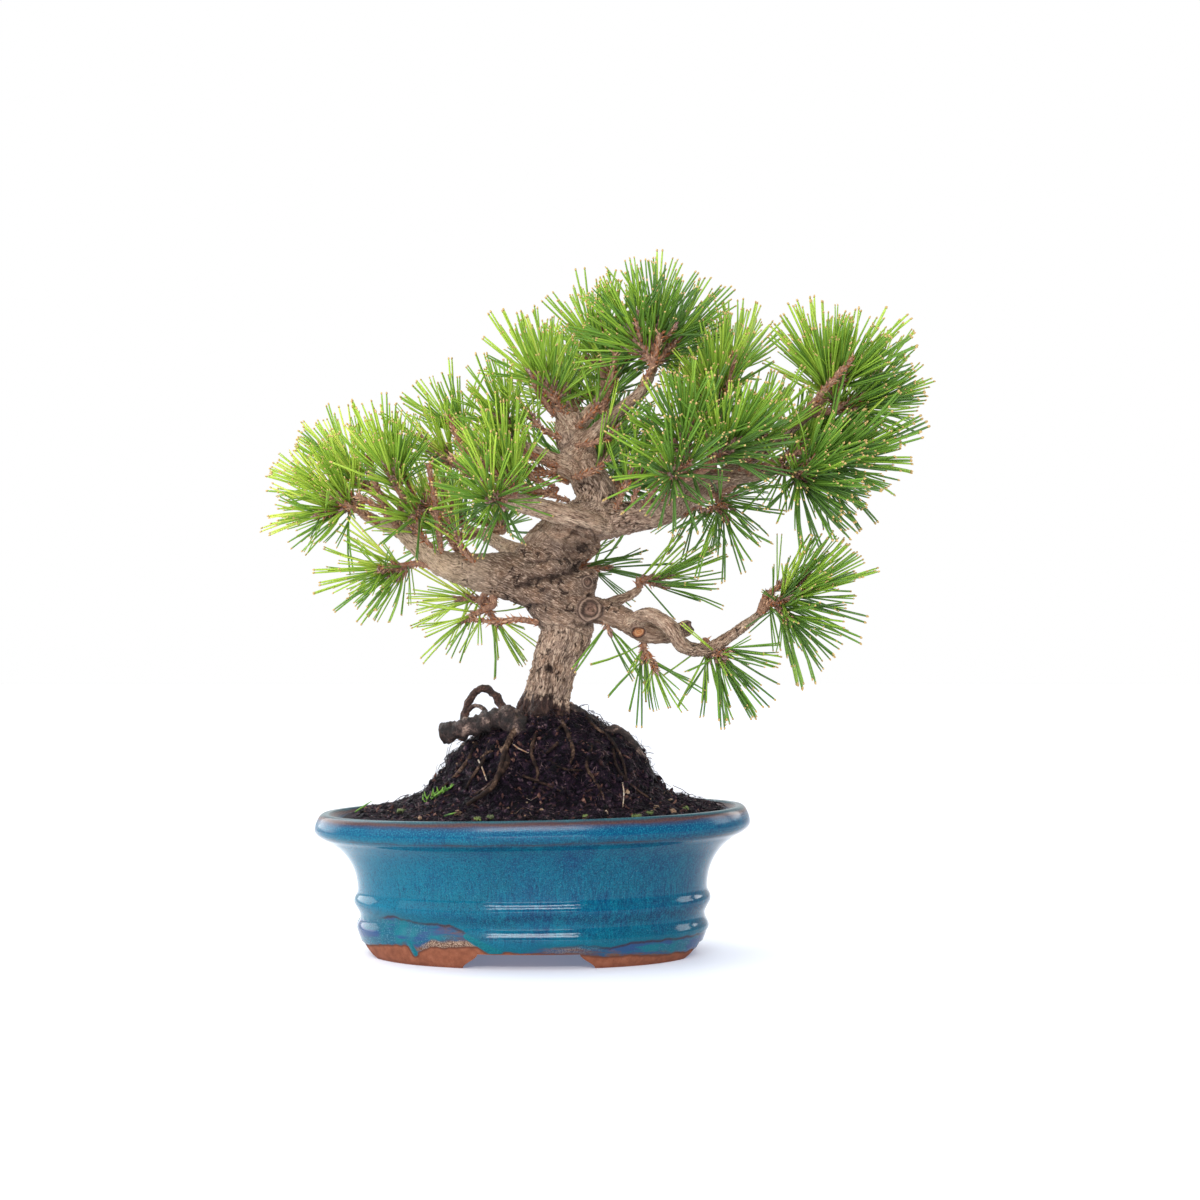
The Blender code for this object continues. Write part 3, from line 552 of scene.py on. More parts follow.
    # thick glaze runs turquoise over its last few millimetres, with a thin brown line where it stops
    thick = attributeOf(tree, "thick")
    fringe = added(thick, mapped(tree, streaks, 0.3, 0.7, -3.0, 3.0))
    colour = mixColour(tree, mapped(tree, fringe, 5.0, 0.0, 0.0, 0.6), colour, (0.003, 0.115, 0.165))
    foam = mixColour(tree, mapped(tree, grains, 0.5, 0.64, 0.0, 0.75), (0.006, 0.080, 0.135), (0.06, 0.20, 0.28))
    foam = mixColour(tree, mapped(tree, runs, 0.44, 0.56, 0.0, 0.75), foam, (0.004, 0.135, 0.17))
    foam = mixColour(tree, mapped(tree, bands, 0.49, 0.58, 0.0, 0.85), foam, (0.022, 0.055, 0.16))
    rusty = ramp(tree, bands, (
        (0.36, (0.012, 0.060, 0.13)), (0.46, (0.085, 0.048, 0.055)), (0.54, (0.018, 0.070, 0.15)), (0.62, (0.13, 0.060, 0.040))))
    rusty = mixColour(tree, mapped(tree, grains, 0.5, 0.7, 0.0, 0.4), rusty, (0.012, 0.12, 0.16))
    clay = attributeOf(tree, "clay")
    rust = added(attributeOf(tree, "brown"), mapped(tree, clouds, 0.3, 0.7, -0.3, 0.3))
    rust = added(rust, mapped(tree, clay, 5.0, 0.5, -0.35, 0.45))
    thin = mixColour(tree, mapped(tree, rust, 0.3, 0.7), foam, rusty)
    tan = addNode(tree, "ShaderNodeMath", {0: mapped(tree, clay, 4.0, 2.6), 1: mapped(tree, attributeOf(tree, "brown"), 0.45, 0.8)},
                  operation="MULTIPLY").outputs[0]
    gritty = mixColour(tree, mapped(tree, grains, 0.42, 0.6), (0.09, 0.045, 0.03), (0.36, 0.25, 0.18))
    thin = mixColour(tree, tan, thin, gritty)
    colour = mixColour(tree, mapped(tree, added(thick, mapped(tree, grains, 0.3, 0.7, -0.5, 0.5)), -0.6, 0.5), thin, colour)
    seam = addNode(tree, "ShaderNodeMath", {0: attributeOf(tree, "seam"), 1: mapped(tree, bands, 0.3, 0.55, 0.45, 1.0)},
                   operation="MULTIPLY").outputs[0]
    colour = mixColour(tree, mapped(tree, added(seam, mapped(tree, grains, 0.3, 0.7, -0.15, 0.15)), 0.15, 0.8, 0.0, 0.88), colour, (0.034, 0.018, 0.018))
    dripping = mixColour(tree, mapped(tree, grains, 0.45, 0.6), (0.003, 0.095, 0.125), (0.004, 0.16, 0.19))
    colour = mixColour(tree, mapped(tree, attributeOf(tree, "drip"), -0.2, 0.5, 0.0, 0.85), colour, dripping)
    # bare clay below the glaze
    clayNoise = noiseOf(tree, place, 260, 4, 0.6)
    bare = ramp(tree, clayNoise, ((0.3, (0.17, 0.054, 0.029)), (0.55, (0.245, 0.082, 0.043)), (0.8, (0.30, 0.115, 0.065))))
    bare = mixColour(tree, mapped(tree, specks, 0.66, 0.74, 0.0, 0.6), bare, (0.05, 0.02, 0.015))
    bare = mixColour(tree, mapped(tree, clay, -1.4, -0.3), bare, (0.11, 0.04, 0.025))
    glazed = mapped(tree, clay, -0.2, 0.4)
    colour = mixColour(tree, glazed, bare, colour)
    tree.links.new(colour, shader.inputs["Base Color"])
    # the lip is duller, and bare clay is matt
    dull = addNode(tree, "ShaderNodeMath", {0: mapped(tree, level, 0.86, 0.93), 1: mapped(tree, grains, 0.4, 0.6, 0.04, 0.22)},
                   operation="MULTIPLY").outputs[0]
    rough = addNode(tree, "ShaderNodeMix", {0: glazed, 2: 0.8, 3: added(dull, 0.10)}, data_type="FLOAT").outputs[0]
    tree.links.new(rough, shader.inputs["Roughness"])
    relief = added(mapped(tree, streaks, 0.0, 1.0, 0.0, 0.5), clayNoise)
    tree.links.new(bumpOf(tree, relief, 0.0002, 0.16), shader.inputs["Normal"])
    shader.inputs["IOR"].default_value = 1.26
    return material


potPiece = makePot()
wear(potPiece, glazeMaterial(), "glaze", "pot")
print("pot", len(potPiece.data.polygons), "faces")


# wood: the trunk and limbs of the solids, joined and given bark
wood = {
    "step": 2.5,
    "sides": 20,
    "voxel": 0.83,
    "trunkFoot": 131.0,
    "trunk": (
        (7, 0, 126.0, 17.5), (7, 0, 131.0, 16.0), (8, 0, 143, 13.0), (13, 1, 163, 13.0), (19, 1, 182, 15.2),
        (8, 0, 210, 19.0), (15, 0, 229, 16.4), (36, 0, 249, 12.2), (28, 1, 271, 9.9),
        (21, 0, 290, 8.6), (20, 0, 301, 6.4)),
    "flareHeight": 14.0,
    "flareLobes": 5,
    "flareDepth": 0.2,
    "flareTurn": 0.6,
    "swellings": ((0.04, 2, 13.0), (0.024, 3, -7.0)),
    # burls: height, bearing in degrees, share of the radius, half height and half width
    "burls": ((199.0, -22.0, 0.62, 9.0, 34.0),),
}

# each limb: its carrier, and its middle line with the radius
limbs = {
    "bough_left": ("trunk", (
        (0, -1, 206, 14.5), (-20, -5, 210, 12.2), (-36, -9, 212.5, 9.6), (-52, -14, 217, 7.0),
        (-72, -20, 233, 4.2), (-84, -18, 238, 3.5), (-93, -16, 243, 2.9))),
    "bough_right": ("trunk", (
        (26, 0, 238, 11.0), (54, -6, 242, 9.0), (74, -12, 246, 7.6), (90, -14, 257, 6.3),
        (110, -12, 264, 5.0), (128, -10, 266, 3.9))),
    "bough_crossing": ("trunk", (
        (38, -3, 236, 7.2), (32, -16, 238, 6.7), (17, -23, 242.5, 6.0), (-3, -28, 247.5, 5.4),
        (-16, -34, 250, 4.5))),
    "bough_upper_left": ("trunk", ((22, 0, 269, 6.0), (8, -6, 275, 4.6), (-6, -10, 281, 3.6), (-13, -11, 285, 2.9))),
    "bough_top_left": ("trunk", ((20, -1, 294, 4.6), (13, -6, 304, 3.6), (6, -9, 310, 2.9))),
    "bough_top": ("trunk", ((22, 1, 289, 5.0), (32, 4, 302, 3.8), (38, 5, 310, 2.9))),
    "bough_top_right": ("trunk", ((25, -2, 280, 5.2), (44, -15, 297, 3.8), (59, -24, 309, 3.1), (65, -27, 317, 2.6))),
    "bough_right_rising": ("bough_right", (
        (97, -13, 260, 4.6), (122, 0, 275, 3.7), (139, 2, 287, 3.1), (150, 0, 296, 2.8))),
    "bough_centre": ("bough_right", ((77, -13, 248, 4.6), (80, -29, 252, 3.6), (80, -42, 256, 3.0))),
    "bough_low": ("trunk", (
        (18, -2, 191, 8.6), (36, -8, 190, 7.4), (49, -14, 186, 6.6), (62, -20, 178, 5.8),
        (76, -15, 177, 5.2), (88, -12, 181, 4.2))),
    "bough_low_arm": ("bough_low", (
        (55, -18, 183, 4.8), (64, -31, 187, 4.3), (75, -35, 181, 4.3), (82, -33, 171, 4.2), (89, -30, 168, 4.0))),
    "bough_low_end": ("bough_low_arm", (
        (86, -31, 168, 3.6), (97, -28, 168.5, 3.8), (108, -26, 175, 3.3), (119, -25, 183, 2.8))),
    "bough_mid_right": ("trunk", ((17, 2, 192, 4.6), (37, 9, 193, 3.6), (50, 14, 197, 2.9), (58, 17, 201, 2.5))),
    "bough_back_left": ("trunk", ((8, 2, 212, 8.0), (1, 20, 219, 6.6), (-17, 47, 228, 4.6), (-34, 69, 238, 3.0))),
    "bough_back": ("trunk", ((22, 1, 240, 7.6), (24, 18, 243, 6.2), (31, 46, 254, 4.4), (37, 70, 266, 2.9))),
    "bough_back_right": ("bough_right", ((62, -8, 244, 6.0), (68, 8, 245, 5.2), (87, 38, 253, 4.1), (103, 60, 260, 2.9))),
    "bough_back_top": ("trunk", ((24, 1, 276, 5.4), (25, 16, 288, 4.2), (26, 31, 298, 3.4), (27, 43, 306, 2.8))),
}

# scars where limbs were cut, ringed or hollow: place, which way each faces, radius of its rim, rim, depth inside
scars = (
    ("ringed", (33.5, -20.0, 190.5), (0.25, -1.0, 0.0), 4.7, 1.5, 1.4),
    ("ringed", (32.0, -20.0, 206.5), (0.25, -1.0, 0.15), 2.7, 0.9, 0.8),
    ("hollow", (34.5, -19.0, 199.0), (0.45, -1.0, 0.1), 1.7, 0.7, 0.9),
    ("hollow", (9.3, -13.0, 157.5), (-0.1, -1.0, 0.0), 2.6, 1.4, 1.6),
    ("ringed", (86.5, -15.0, 181.0), (0.9, -0.3, 0.3), 2.6, 0.6, 0.8),
)
# the tan cut on the low limb, and the rusty nub under it
wound = ((58.7, -24.5, 178.0), (0.0, -1.0, 0.05), 3.1, 2.5)

# folds and rolls on the front: their line (x, height), half width, how far they stand out, and how dark they are
# painted: painted shade in the creases, and on the lump its own dark bark
folds = (
    (((-15, 219.9), (-3.9, 222.1), (7.1, 224.3), (15.4, 226)), 6.0, 1.6, 0.0),
    (((-17.7, 209.4), (-6.7, 211.6), (7.1, 212.2), (18.2, 216)), 3.6, 2.2, 0.0),
    (((1.6, 200), (11, 201.7), (22, 202.8)), 4.5, 2.0, 0.0),
    (((-2.3, 215.5), (7.1, 216.6), (17.1, 219.9)), 0.9, -1.1, 0.9),
    (((0.5, 206.7), (7.1, 207.8), (14.3, 208.3), (20.9, 211.1), (26.5, 214.4)), 2.2, -3.2, 0.9),
    (((-8.4, 202.2), (-4.5, 203.3), (-1.2, 204.4)), 1.9, -2.4, 1.0),
    (((-15, 200), (-11.1, 205.5), (-6.7, 208.3), (0, 209.6)), 0.8, -0.6, 0.45),
    (((-18, 204), (-14, 209), (-8, 213), (0, 214)), 0.7, -0.5, 0.35),
    (((-15, 194.5), (-6.7, 190.1), (-0.1, 185.7), (4.4, 181.2)), 1.6, -0.9, 0.8),
    (((-3.4, 191.2), (4.4, 193.4), (11, 192.3), (16.5, 189)), 0.9, -0.9, 0.85),
    (((4.4, 196), (13.2, 197.2), (20.9, 195.6)), 0.6, -0.6, 0.6),
    (((6, 188), (11, 184), (12, 178)), 0.7, -0.7, 0.6),
    (((18.7, 228.8), (23.2, 233.7), (32, 233.2), (37.5, 228)), 1.2, -1.6, 0.9),
    (((18.7, 228.8), (16.5, 223.2), (22.5, 217.8)), 0.9, -1.0, 0.7),
    (((22, 224.4), (27.6, 225.0), (34.2, 227.1)), 6.0, 0.3, 0.62),
    (((25, 229), (30, 226), (33, 221)), 0.8, -0.8, 0.95),
    (((23.2, 183.4), (28.7, 180.7), (36.4, 183.4)), 1.3, -1.2, 0.8),
    (((34, 203), (38, 199), (37, 194)), 0.8, -0.6, 0.7),
    (((9.5, 153), (10, 148), (9, 143)), 1.4, -1.5, 0.8),
    (((20, 176), (19, 160), (16, 146)), 0.9, -0.9, 0.5),
    (((2, 175), (0, 160), (1, 147)), 0.9, -0.8, 0.5),
)
# the dark lump beside the knee, under the right limb: its middle line with the radius
lump = ((18, -4, 223, 7.0), (26, -7, 225, 8.2), (33, -8, 227, 6.6), (37, -8, 228.5, 4.0))


rollAlong = Vector((0.9, 0.0, 0.43)).normalized()
rollAcross = Vector((-0.43, 0.0, 0.9)).normalized()


def burls(place, out):
    bearing = math.degrees(math.atan2(out.y, out.x))
    total = 0.0
    for level, middle, share, halfHeight, halfWidth in wood["burls"]:
        aside = (bearing - middle + 180) % 360 - 180
        total += share * math.exp(-(((place.z - level) / halfHeight) ** 2) - (aside / halfWidth) ** 2)
    return total


def trunkRelief(place, out, turn):
    height = max(0.0, place.z - wood["trunkFoot"])
    lobes = wood["flareDepth"] * math.cos(wood["flareLobes"] * turn + wood["flareTurn"])
    lobes *= max(0.0, 1 - height / wood["flareHeight"])
    swelling = sum(share * math.sin(times * turn + place.z / pitch) for share, times, pitch in wood["swellings"])
    return 1 + lobes + swelling * min(1.0, height / wood["flareHeight"]) + burls(place, out)


def limbLine(name, spacing):
    if name == "trunk":
        return curveThrough(wood["trunk"], spacing)
    return curveThrough(limbs[name][1], spacing)


# foliage: each mass has its limb, how far along it the stem leaves, its needles' length, its tone from shaded
# to sunlit, and its buds (x, y, z, heading, climb), with headings in degrees from +X towards the back
masses = {
    "foliage_left_tip": ("bough_left", 1.0, 39, 0.59, ((-113, -17, 255, 200, 16), (-112, -25, 243, 205, -16))),
    "foliage_left_pad": ("bough_left", 0.75, 42, 0.51, ((-78, -46, 268, 240, 48), (-105, 6, 270, 150, 38))),
    "foliage_left_low": ("bough_left", 0.42, 40, 0.61, ((-82, -28, 212, 205, -10),)),
    "foliage_left_under": ("bough_left", 0.22, 38, 0.60, (
        (-38, -20, 184, 215, -25), (-43, 14, 197, 160, 2), (-20, 24, 182, 60, -35))),
    "foliage_left_inner": ("bough_left", 0.35, 40, 0.51, ((-65, -33, 240, 250, -20), (-57, 8, 253, 135, 42))),
    "foliage_crossing": ("bough_crossing", 1.0, 42, 0.47, ((-21, -68, 247, 252, -14), (-15, -44, 268, 240, 55))),
    "foliage_upper_left": ("bough_upper_left", 1.0, 39, 0.46, (
        (-17, -16, 300, 235, 55), (-48, 6, 297, 165, 50), (-54, -14, 276, 205, 22), (-26, 26, 280, 140, 28))),
    "foliage_top_left": ("bough_top_left", 1.0, 44, 0.44, ((0, -24, 320, 215, 42), (6, 14, 326, 120, 62))),
    "foliage_top": ("bough_top", 1.0, 43, 0.39, ((33, 18, 346, 125, 62), (46, -2, 336, 275, 62))),
    "foliage_crown": ("bough_top_right", 1.0, 42, 0.31, (
        (54, -36, 341, 200, 50), (68, -32, 348, 280, 70), (82, -16, 341, 20, 45))),
    "foliage_right": ("bough_right", 1.0, 46, 0.43, (
        (168, -6, 273, 350, 2), (149, -40, 257, 300, -30), (159, 26, 286, 35, 25))),
    "foliage_right_top": ("bough_right_rising", 1.0, 46, 0.43, (
        (161, -8, 322, 205, 62), (179, -6, 322, 345, 38), (191, 16, 307, 15, 8))),
    "foliage_centre": ("bough_centre", 1.0, 46, 0.34, (
        (75, -72, 260, 262, -10), (82, -56, 286, 258, 46), (109, -58, 278, 312, 30))),
    "foliage_right_low": ("bough_right", 0.66, 42, 0.40, ((106, -30, 240, 285, -42),)),
    "foliage_right_inner": ("bough_right_rising", 0.3, 44, 0.43, (
        (116, 24, 334, 60, 50), (92, 36, 314, 95, 52), (102, -24, 316, 275, 60))),
    "foliage_low_stub": ("bough_low", 0.6, 44, 0.50, ((61, -24, 163, 262, -55),)),
    "foliage_low_end": ("bough_low_end", 1.0, 46, 0.48, ((151, -26, 201, 340, 20), (142, -24, 184, 320, -45))),
    "foliage_low_under": ("bough_low_end", 0.12, 42, 0.47, ((104, -31, 160, 305, -42),)),
    "foliage_mid_right": ("bough_mid_right", 1.0, 42, 0.42, ((77, 20, 210, 15, 8),)),
    "foliage_behind": ("trunk", 0.43, 40, 0.22, ((42, 42, 216, 35, 5), (16, 54, 206, 115, -12))),
    "foliage_back_left": ("bough_back_left", 1.0, 42, 0.3, (
        (-52, 86, 248, 130, 24), (-22, 94, 244, 92, 14), (-62, 58, 240, 165, 14))),
    "foliage_back": ("bough_back", 1.0, 44, 0.25, (
        (24, 90, 278, 112, 34), (54, 92, 270, 72, 14), (38, 78, 292, 90, 68))),
    "foliage_back_right": ("bough_back_right", 1.0, 44, 0.25, (
        (120, 78, 268, 50, 22), (94, 86, 257, 95, 6), (128, 54, 278, 15, 44))),
    "foliage_back_top": ("bough_back_top", 1.0, 44, 0.3, ((18, 58, 324, 112, 52), (46, 52, 326, 62, 52))),
}

# habits: how strongly a mass's needles turn up towards the light, how full it is, and how far they fan out
usualHabit = (0.3, 1.0, 1.0)
habits = {
    "foliage_left_tip": (0.15, 1.0, 0.95),
    "foliage_left_pad": (0.35, 1.0, 1.05),
    "foliage_left_low": (0.0, 0.75, 0.95),
    "foliage_left_under": (-0.1, 0.45, 0.95),
    "foliage_left_inner": (0.3, 0.6, 1.0),
    "foliage_crossing": (0.4, 0.75, 1.05),
    "foliage_upper_left": (0.1, 0.65, 1.0),
    "foliage_top_left": (0.25, 0.6, 0.9),
    "foliage_top": (0.25, 0.95, 1.0),
    "foliage_crown": (0.09, 1.05, 0.95),
    "foliage_right": (0.1, 1.45, 0.9),
    "foliage_right_top": (0.3, 1.25, 0.85),
    "foliage_right_low": (0.0, 0.5, 1.05),
    "foliage_right_inner": (0.3, 1.1, 0.9),
    "foliage_centre": (0.2, 1.05, 1.1),
    "foliage_low_stub": (-0.15, 0.3, 1.2),
    "foliage_low_end": (0.15, 1.0, 0.85),
    "foliage_low_under": (-0.15, 0.6, 1.1),
    "foliage_mid_right": (0.3, 0.45, 0.85),
    "foliage_behind": (0.0, 0.4, 1.0),
    "foliage_back_right": (0.3, 0.65, 1.0),
}

twig = {
    "shootLength": 17.0,
    "stemRadius": 2.2,
    "stemShare": 0.6,
    "forkPlace": 0.35,
    "loneForkPlace": 0.5,
    "radius": 2.0,
    "share": 0.85,
    "bend": 8.0,
    "step": 1.6,
    "sides": 9,
    "pairs": 28,
    "bare": 8.0,  # how much of the shoot's foot has no needles
    "sideShoots": (1, 3),
    "sidePairs": (10, 16),
    "sideLength": (9.0, 15.0),
    "sideLean": (20.0, 46.0),
    "sideReach": (0.74, 0.94),
    # shoots further back on the twigs: how many, where, their length, lean and reach
    "innerShoots": (0.6, 2.0),
    "innerPairs": (7, 12),
    "innerPlace": (0.35, 0.8),
    "innerLength": (14.0, 24.0),
    "innerLean": (30.0, 55.0),
    "innerReach": (0.68, 0.86),
}


def direction(heading, climb):
    turn, rise = math.radians(heading), math.radians(climb)
    level = math.cos(rise)
    return Vector((math.cos(turn) * level, math.sin(turn) * level, math.sin(rise)))


def pointAlong(line, share):
    lengths = [(b[0] - a[0]).length for a, b in zip(line, line[1:])]
    left = share * sum(lengths)
    for (a, b), length in zip(zip(line, line[1:]), lengths):
        if left <= length or b is line[-1]:
            t = min(left / length, 1.0)
            return a[0].lerp(b[0], t), a[1] + (b[1] - a[1]) * t, (b[0] - a[0]).normalized()
        left -= length


def massBones(name):
    carrier, share, length, _, buds = masses[name]
    line = curveThrough(wood["trunk"][1:], 9.0) if carrier == "trunk" else limbLine(carrier, 9.0)
    foot, radius, along = pointAlong(line, share)
    shoots = []
    for *bud, heading, climb in buds:
        shoots.append((Vector(bud) - direction(heading, climb) * twig["shootLength"], Vector(bud)))
    middle = sum((base for base, _ in shoots), Vector()) / len(shoots)
    outward = (middle - foot).normalized()
    if share == 1.0:
        start, leave, stemRadius = foot - along, (along + outward) / 2, radius
    else:
        start, leave, stemRadius = foot, outward, min(twig["stemRadius"], radius * twig["stemShare"])
    place = twig["forkPlace"] if len(shoots) > 1 else twig["loneForkPlace"]
    fork = foot + leave * (middle - foot).length * place
    twigRadius = min(twig["radius"], stemRadius * twig["share"])
    stem = [(start, stemRadius), (fork, (stemRadius + twigRadius) / 2)]
    twigs = []
    for base, bud in shoots:
        axis = (bud - base).normalized()
        bend = base - axis * min(twig["bend"], (base - fork).length / 3)
        rows = [(*fork, twigRadius), (*bend, twigRadius), (*base, twigRadius), (*(bud), twigRadius * 0.8)]
        twigs.append(rows)
    return stem, twigs, shoots, length


# one shoot: its foot and bud, needle length, pairs of needles, tone, lift and fan
shoots = []
twigLines = []
stemLines = []
for name in masses:
    draw = random.Random(f"{seed} {name}")
    stem, rows, found, length = massBones(name)
    tone = masses[name][3]
    lift, full, fan = habits.get(name, usualHabit)
    stemLines.append(stem)
    for line, (base, bud) in zip(rows, found):
        twigLines.append(line)
        axis = (bud - base).normalized()
        if name == "foliage_low_end" and axis.z < 0:
            full *= 0.55
        foot = base + axis * twig["bare"] * draw.uniform(0.0, 1.0)
        shoots.append(((foot, bud), length, round(twig["pairs"] * full * draw.uniform(0.85, 1.15)), tone, lift, fan))
        for i in range(round(full * draw.randint(*twig["sideShoots"]))):
            side = axis.orthogonal().normalized()
            side.rotate(Matrix.Rotation(draw.uniform(0, math.tau), 3, axis))
            lean = math.radians(draw.uniform(*twig["sideLean"]))
            heading = axis * math.cos(lean) + side * math.sin(lean)
            foot = base + axis * draw.uniform(-7.0, 4.0)
            tip = foot + heading * draw.uniform(*twig["sideLength"])
            reach = length * draw.uniform(*twig["sideReach"])
            shade = tone - draw.uniform(-0.05, 0.15)
            shoots.append(((foot, tip), reach, draw.randint(*twig["sidePairs"]), shade, lift, fan))
            twigLines.append([(*(foot - axis * 2), 1.2), (*(foot + heading * 3), 1.15), (*tip, 0.95)])
        for i in range(round(full * draw.uniform(*twig["innerShoots"]))):
            place, _, along = pointAlong(curveThrough(line, 4.0), draw.uniform(*twig["innerPlace"]))
            side = along.orthogonal().normalized()
            side.rotate(Matrix.Rotation(draw.uniform(0, math.tau), 3, along))
            if side.z < 0:
                side.z *= -0.6
            lean = math.radians(draw.uniform(*twig["innerLean"]))
            heading = (along * math.cos(lean) + side.normalized() * math.sin(lean)).normalized()
            tip = place + heading * draw.uniform(*twig["innerLength"])
            reach = length * draw.uniform(*twig["innerReach"])
            shade = tone - draw.uniform(0.0, 0.15)
            shoots.append(((place + heading * 8, tip), reach, draw.randint(*twig["innerPairs"]), shade, lift, fan))
            twigLines.append([(*place, 1.5), (*(place + heading * 5), 1.35), (*tip, 1.1)])
# sparse sprays straight from the wood round the fork: their middle line, pairs of needles, length, tone
sprays = (
    (((16, -6, 270), (4, -14, 274), (-8, -18, 280), (-16, -20, 286)), 13, 36, 0.46),
    (((13, -8, 268), (2, -16, 265), (-9, -20, 269)), 11, 34, 0.42),
    (((12, -9, 259), (0, -18, 263), (-12, -20, 271)), 11, 34, 0.40),
    (((16, -5, 286), (5, -14, 291), (-3, -18, 300)), 11, 36, 0.50),
    (((19, -3, 297), (14, -12, 306), (12, -16, 316)), 12, 36, 0.45),
    (((24, -6, 292), (33, -14, 299), (40, -16, 308)), 12, 36, 0.38),
    (((24, -8, 282), (36, -16, 283), (47, -20, 290)), 12, 34, 0.32),
    (((22, -9, 264), (32, -18, 266), (42, -22, 273)), 10, 34, 0.32),
    (((46, -10, 246), (50, -22, 255), (55, -26, 266)), 12, 36, 0.34),
    (((-30, -14, 214), (-38, -20, 223), (-42, -22, 234)), 10, 32, 0.48),
    (((-52, -16, 220), (-60, -22, 230), (-68, -24, 238)), 10, 34, 0.52),
    (((22, 8, 280), (30, 18, 286), (37, 26, 295)), 12, 34, 0.28),
    (((16, 8, 270), (4, 18, 276), (-7, 26, 283)), 12, 34, 0.30),
    (((68, -12, 246), (74, -20, 257), (79, -25, 269)), 14, 42, 0.35),
    (((90, -14, 258), (96, -22, 269), (103, -27, 281)), 14, 44, 0.36),
    (((54, -8, 243), (57, -17, 254), (60, -22, 267)), 13, 40, 0.32),
    (((112, -12, 264), (120, -20, 274), (128, -24, 286)), 15, 44, 0.38),
    (((104, -13, 262), (113, -4, 275), (122, 2, 288)), 16, 44, 0.36),
    (((78, -12, 250), (83, -4, 264), (90, 2, 277)), 15, 42, 0.36),
    (((146, -8, 268), (160, -9, 271), (173, -9, 275)), 12, 54, 0.40),
    (((40, -10, 188), (41, -13, 184), (43, -15, 178)), 5, 44, 0.46),
    (((20, 6, 252), (9, 13, 256), (-3, 18, 258)), 13, 36, 0.32),
    (((20, 4, 262), (8, 9, 268), (-5, 12, 273)), 11, 36, 0.34),
    (((14, -4, 258), (5, -12, 256), (-4, -16, 258)), 7, 34, 0.40),
)
for line, pairs, length, tone in sprays:
    foot, tip = Vector(line[-2]), Vector(line[-1])
    shoots.append(((foot.lerp(tip, 0.2), tip), length, pairs, tone, 0.2, 0.9))
    twigLines.append([(*place, 1.3 - 0.14 * i) for i, place in enumerate(line)])
# bare twigs
for line in (
        ((3, -9, 183), (-8, -13, 185), (-20, -15, 183.5), (-34, -19, 185)),
        ((-22, -32, 252), (-33, -30, 268), (-41, -26, 285), (-46, -22, 297)),
        ((-60, -17, 224), (-63, -24, 240), (-66, -28, 256), (-72, -32, 267)),
        ((-30, -9, 214), (-42, -16, 229), (-52, -24, 241), (-58, -30, 254)),
        ((-84, -20, 238), (-99, -28, 246), (-114, -32, 253)),
        ((-78, -26, 242), (-84, -36, 257), (-88, -41, 272)),
        ((12, -8, 299), (5, -18, 308), (0, -24, 317)),
        ((38, -10, 300), (43, -24, 314), (46, -33, 330)),
        ((60, -25, 311), (67, -36, 325), (70, -41, 340)),
        ((100, -14, 266), (106, -24, 300), (111, -28, 330)),
        ((146, -6, 294), (161, -20, 311), (176, -28, 328)),
        ((118, -14, 266), (134, -24, 272), (149, -30, 277)),
        ((60, -9, 243), (68, -24, 258), (72, -36, 274)),
        ((-14, -34, 250), (-27, -46, 262), (-42, -54, 271)),
        ((-10, -32, 250), (-17, -46, 262), (-28, -56, 269)),
        ((-50, -14, 218), (-52, -34, 246), (-55, -46, 268)),
        ((-72, -20, 233), (-80, -34, 243), (-94, -42, 252))):
    twigLines.append([(*place, 1.7 - 0.2 * i) for i, place in enumerate(line)])
print("growth", len(shoots), "shoots")


def nearestOn(line, x, z):
    best = 1e9
    for (ax, az), (bx, bz) in zip(line, line[1:]):
        dx, dz = bx - ax, bz - az
        t = min(max(((x - ax) * dx + (z - az) * dz) / (dx * dx + dz * dz), 0.0), 1.0)
        best = min(best, math.hypot(x - ax - t * dx, z - az - t * dz))
    return best


def limbFrames(line):
    frames = []
    heading = (line[1][0] - line[0][0]).normalized()
    side = heading.orthogonal().normalized()
    rise = 0.0
    for i, (place, radius) in enumerate(line):
        turned = (line[min(i + 1, len(line) - 1)][0] - line[max(i - 1, 0)][0]).normalized()
        side = (heading.rotation_difference(turned) @ side).normalized()
        heading = turned
        rise += (place - line[i - 1][0]).length if i else 0.0
        frames.append((place, radius, heading, side, heading.cross(side), rise))
    return frames


def scarRelief(p, normal, centre, out, size, ring, depth):
    off = p - centre
    above = off.dot(out)
    flat = (off - out * above).length / size
    if flat > 2.2 or abs(above) > 2.2 * size + 7 or normal.dot(out) < 0.1:
        return 0.0, 9.0
    inside = 1 - smoothstep(0.55, 0.85, flat)
    lift = ring * math.exp(-(((flat - 1.08) / 0.26) ** 2)) - inside * depth
    return lift - 0.25 * math.exp(-(((flat - 1.5) / 0.16) ** 2)), flat


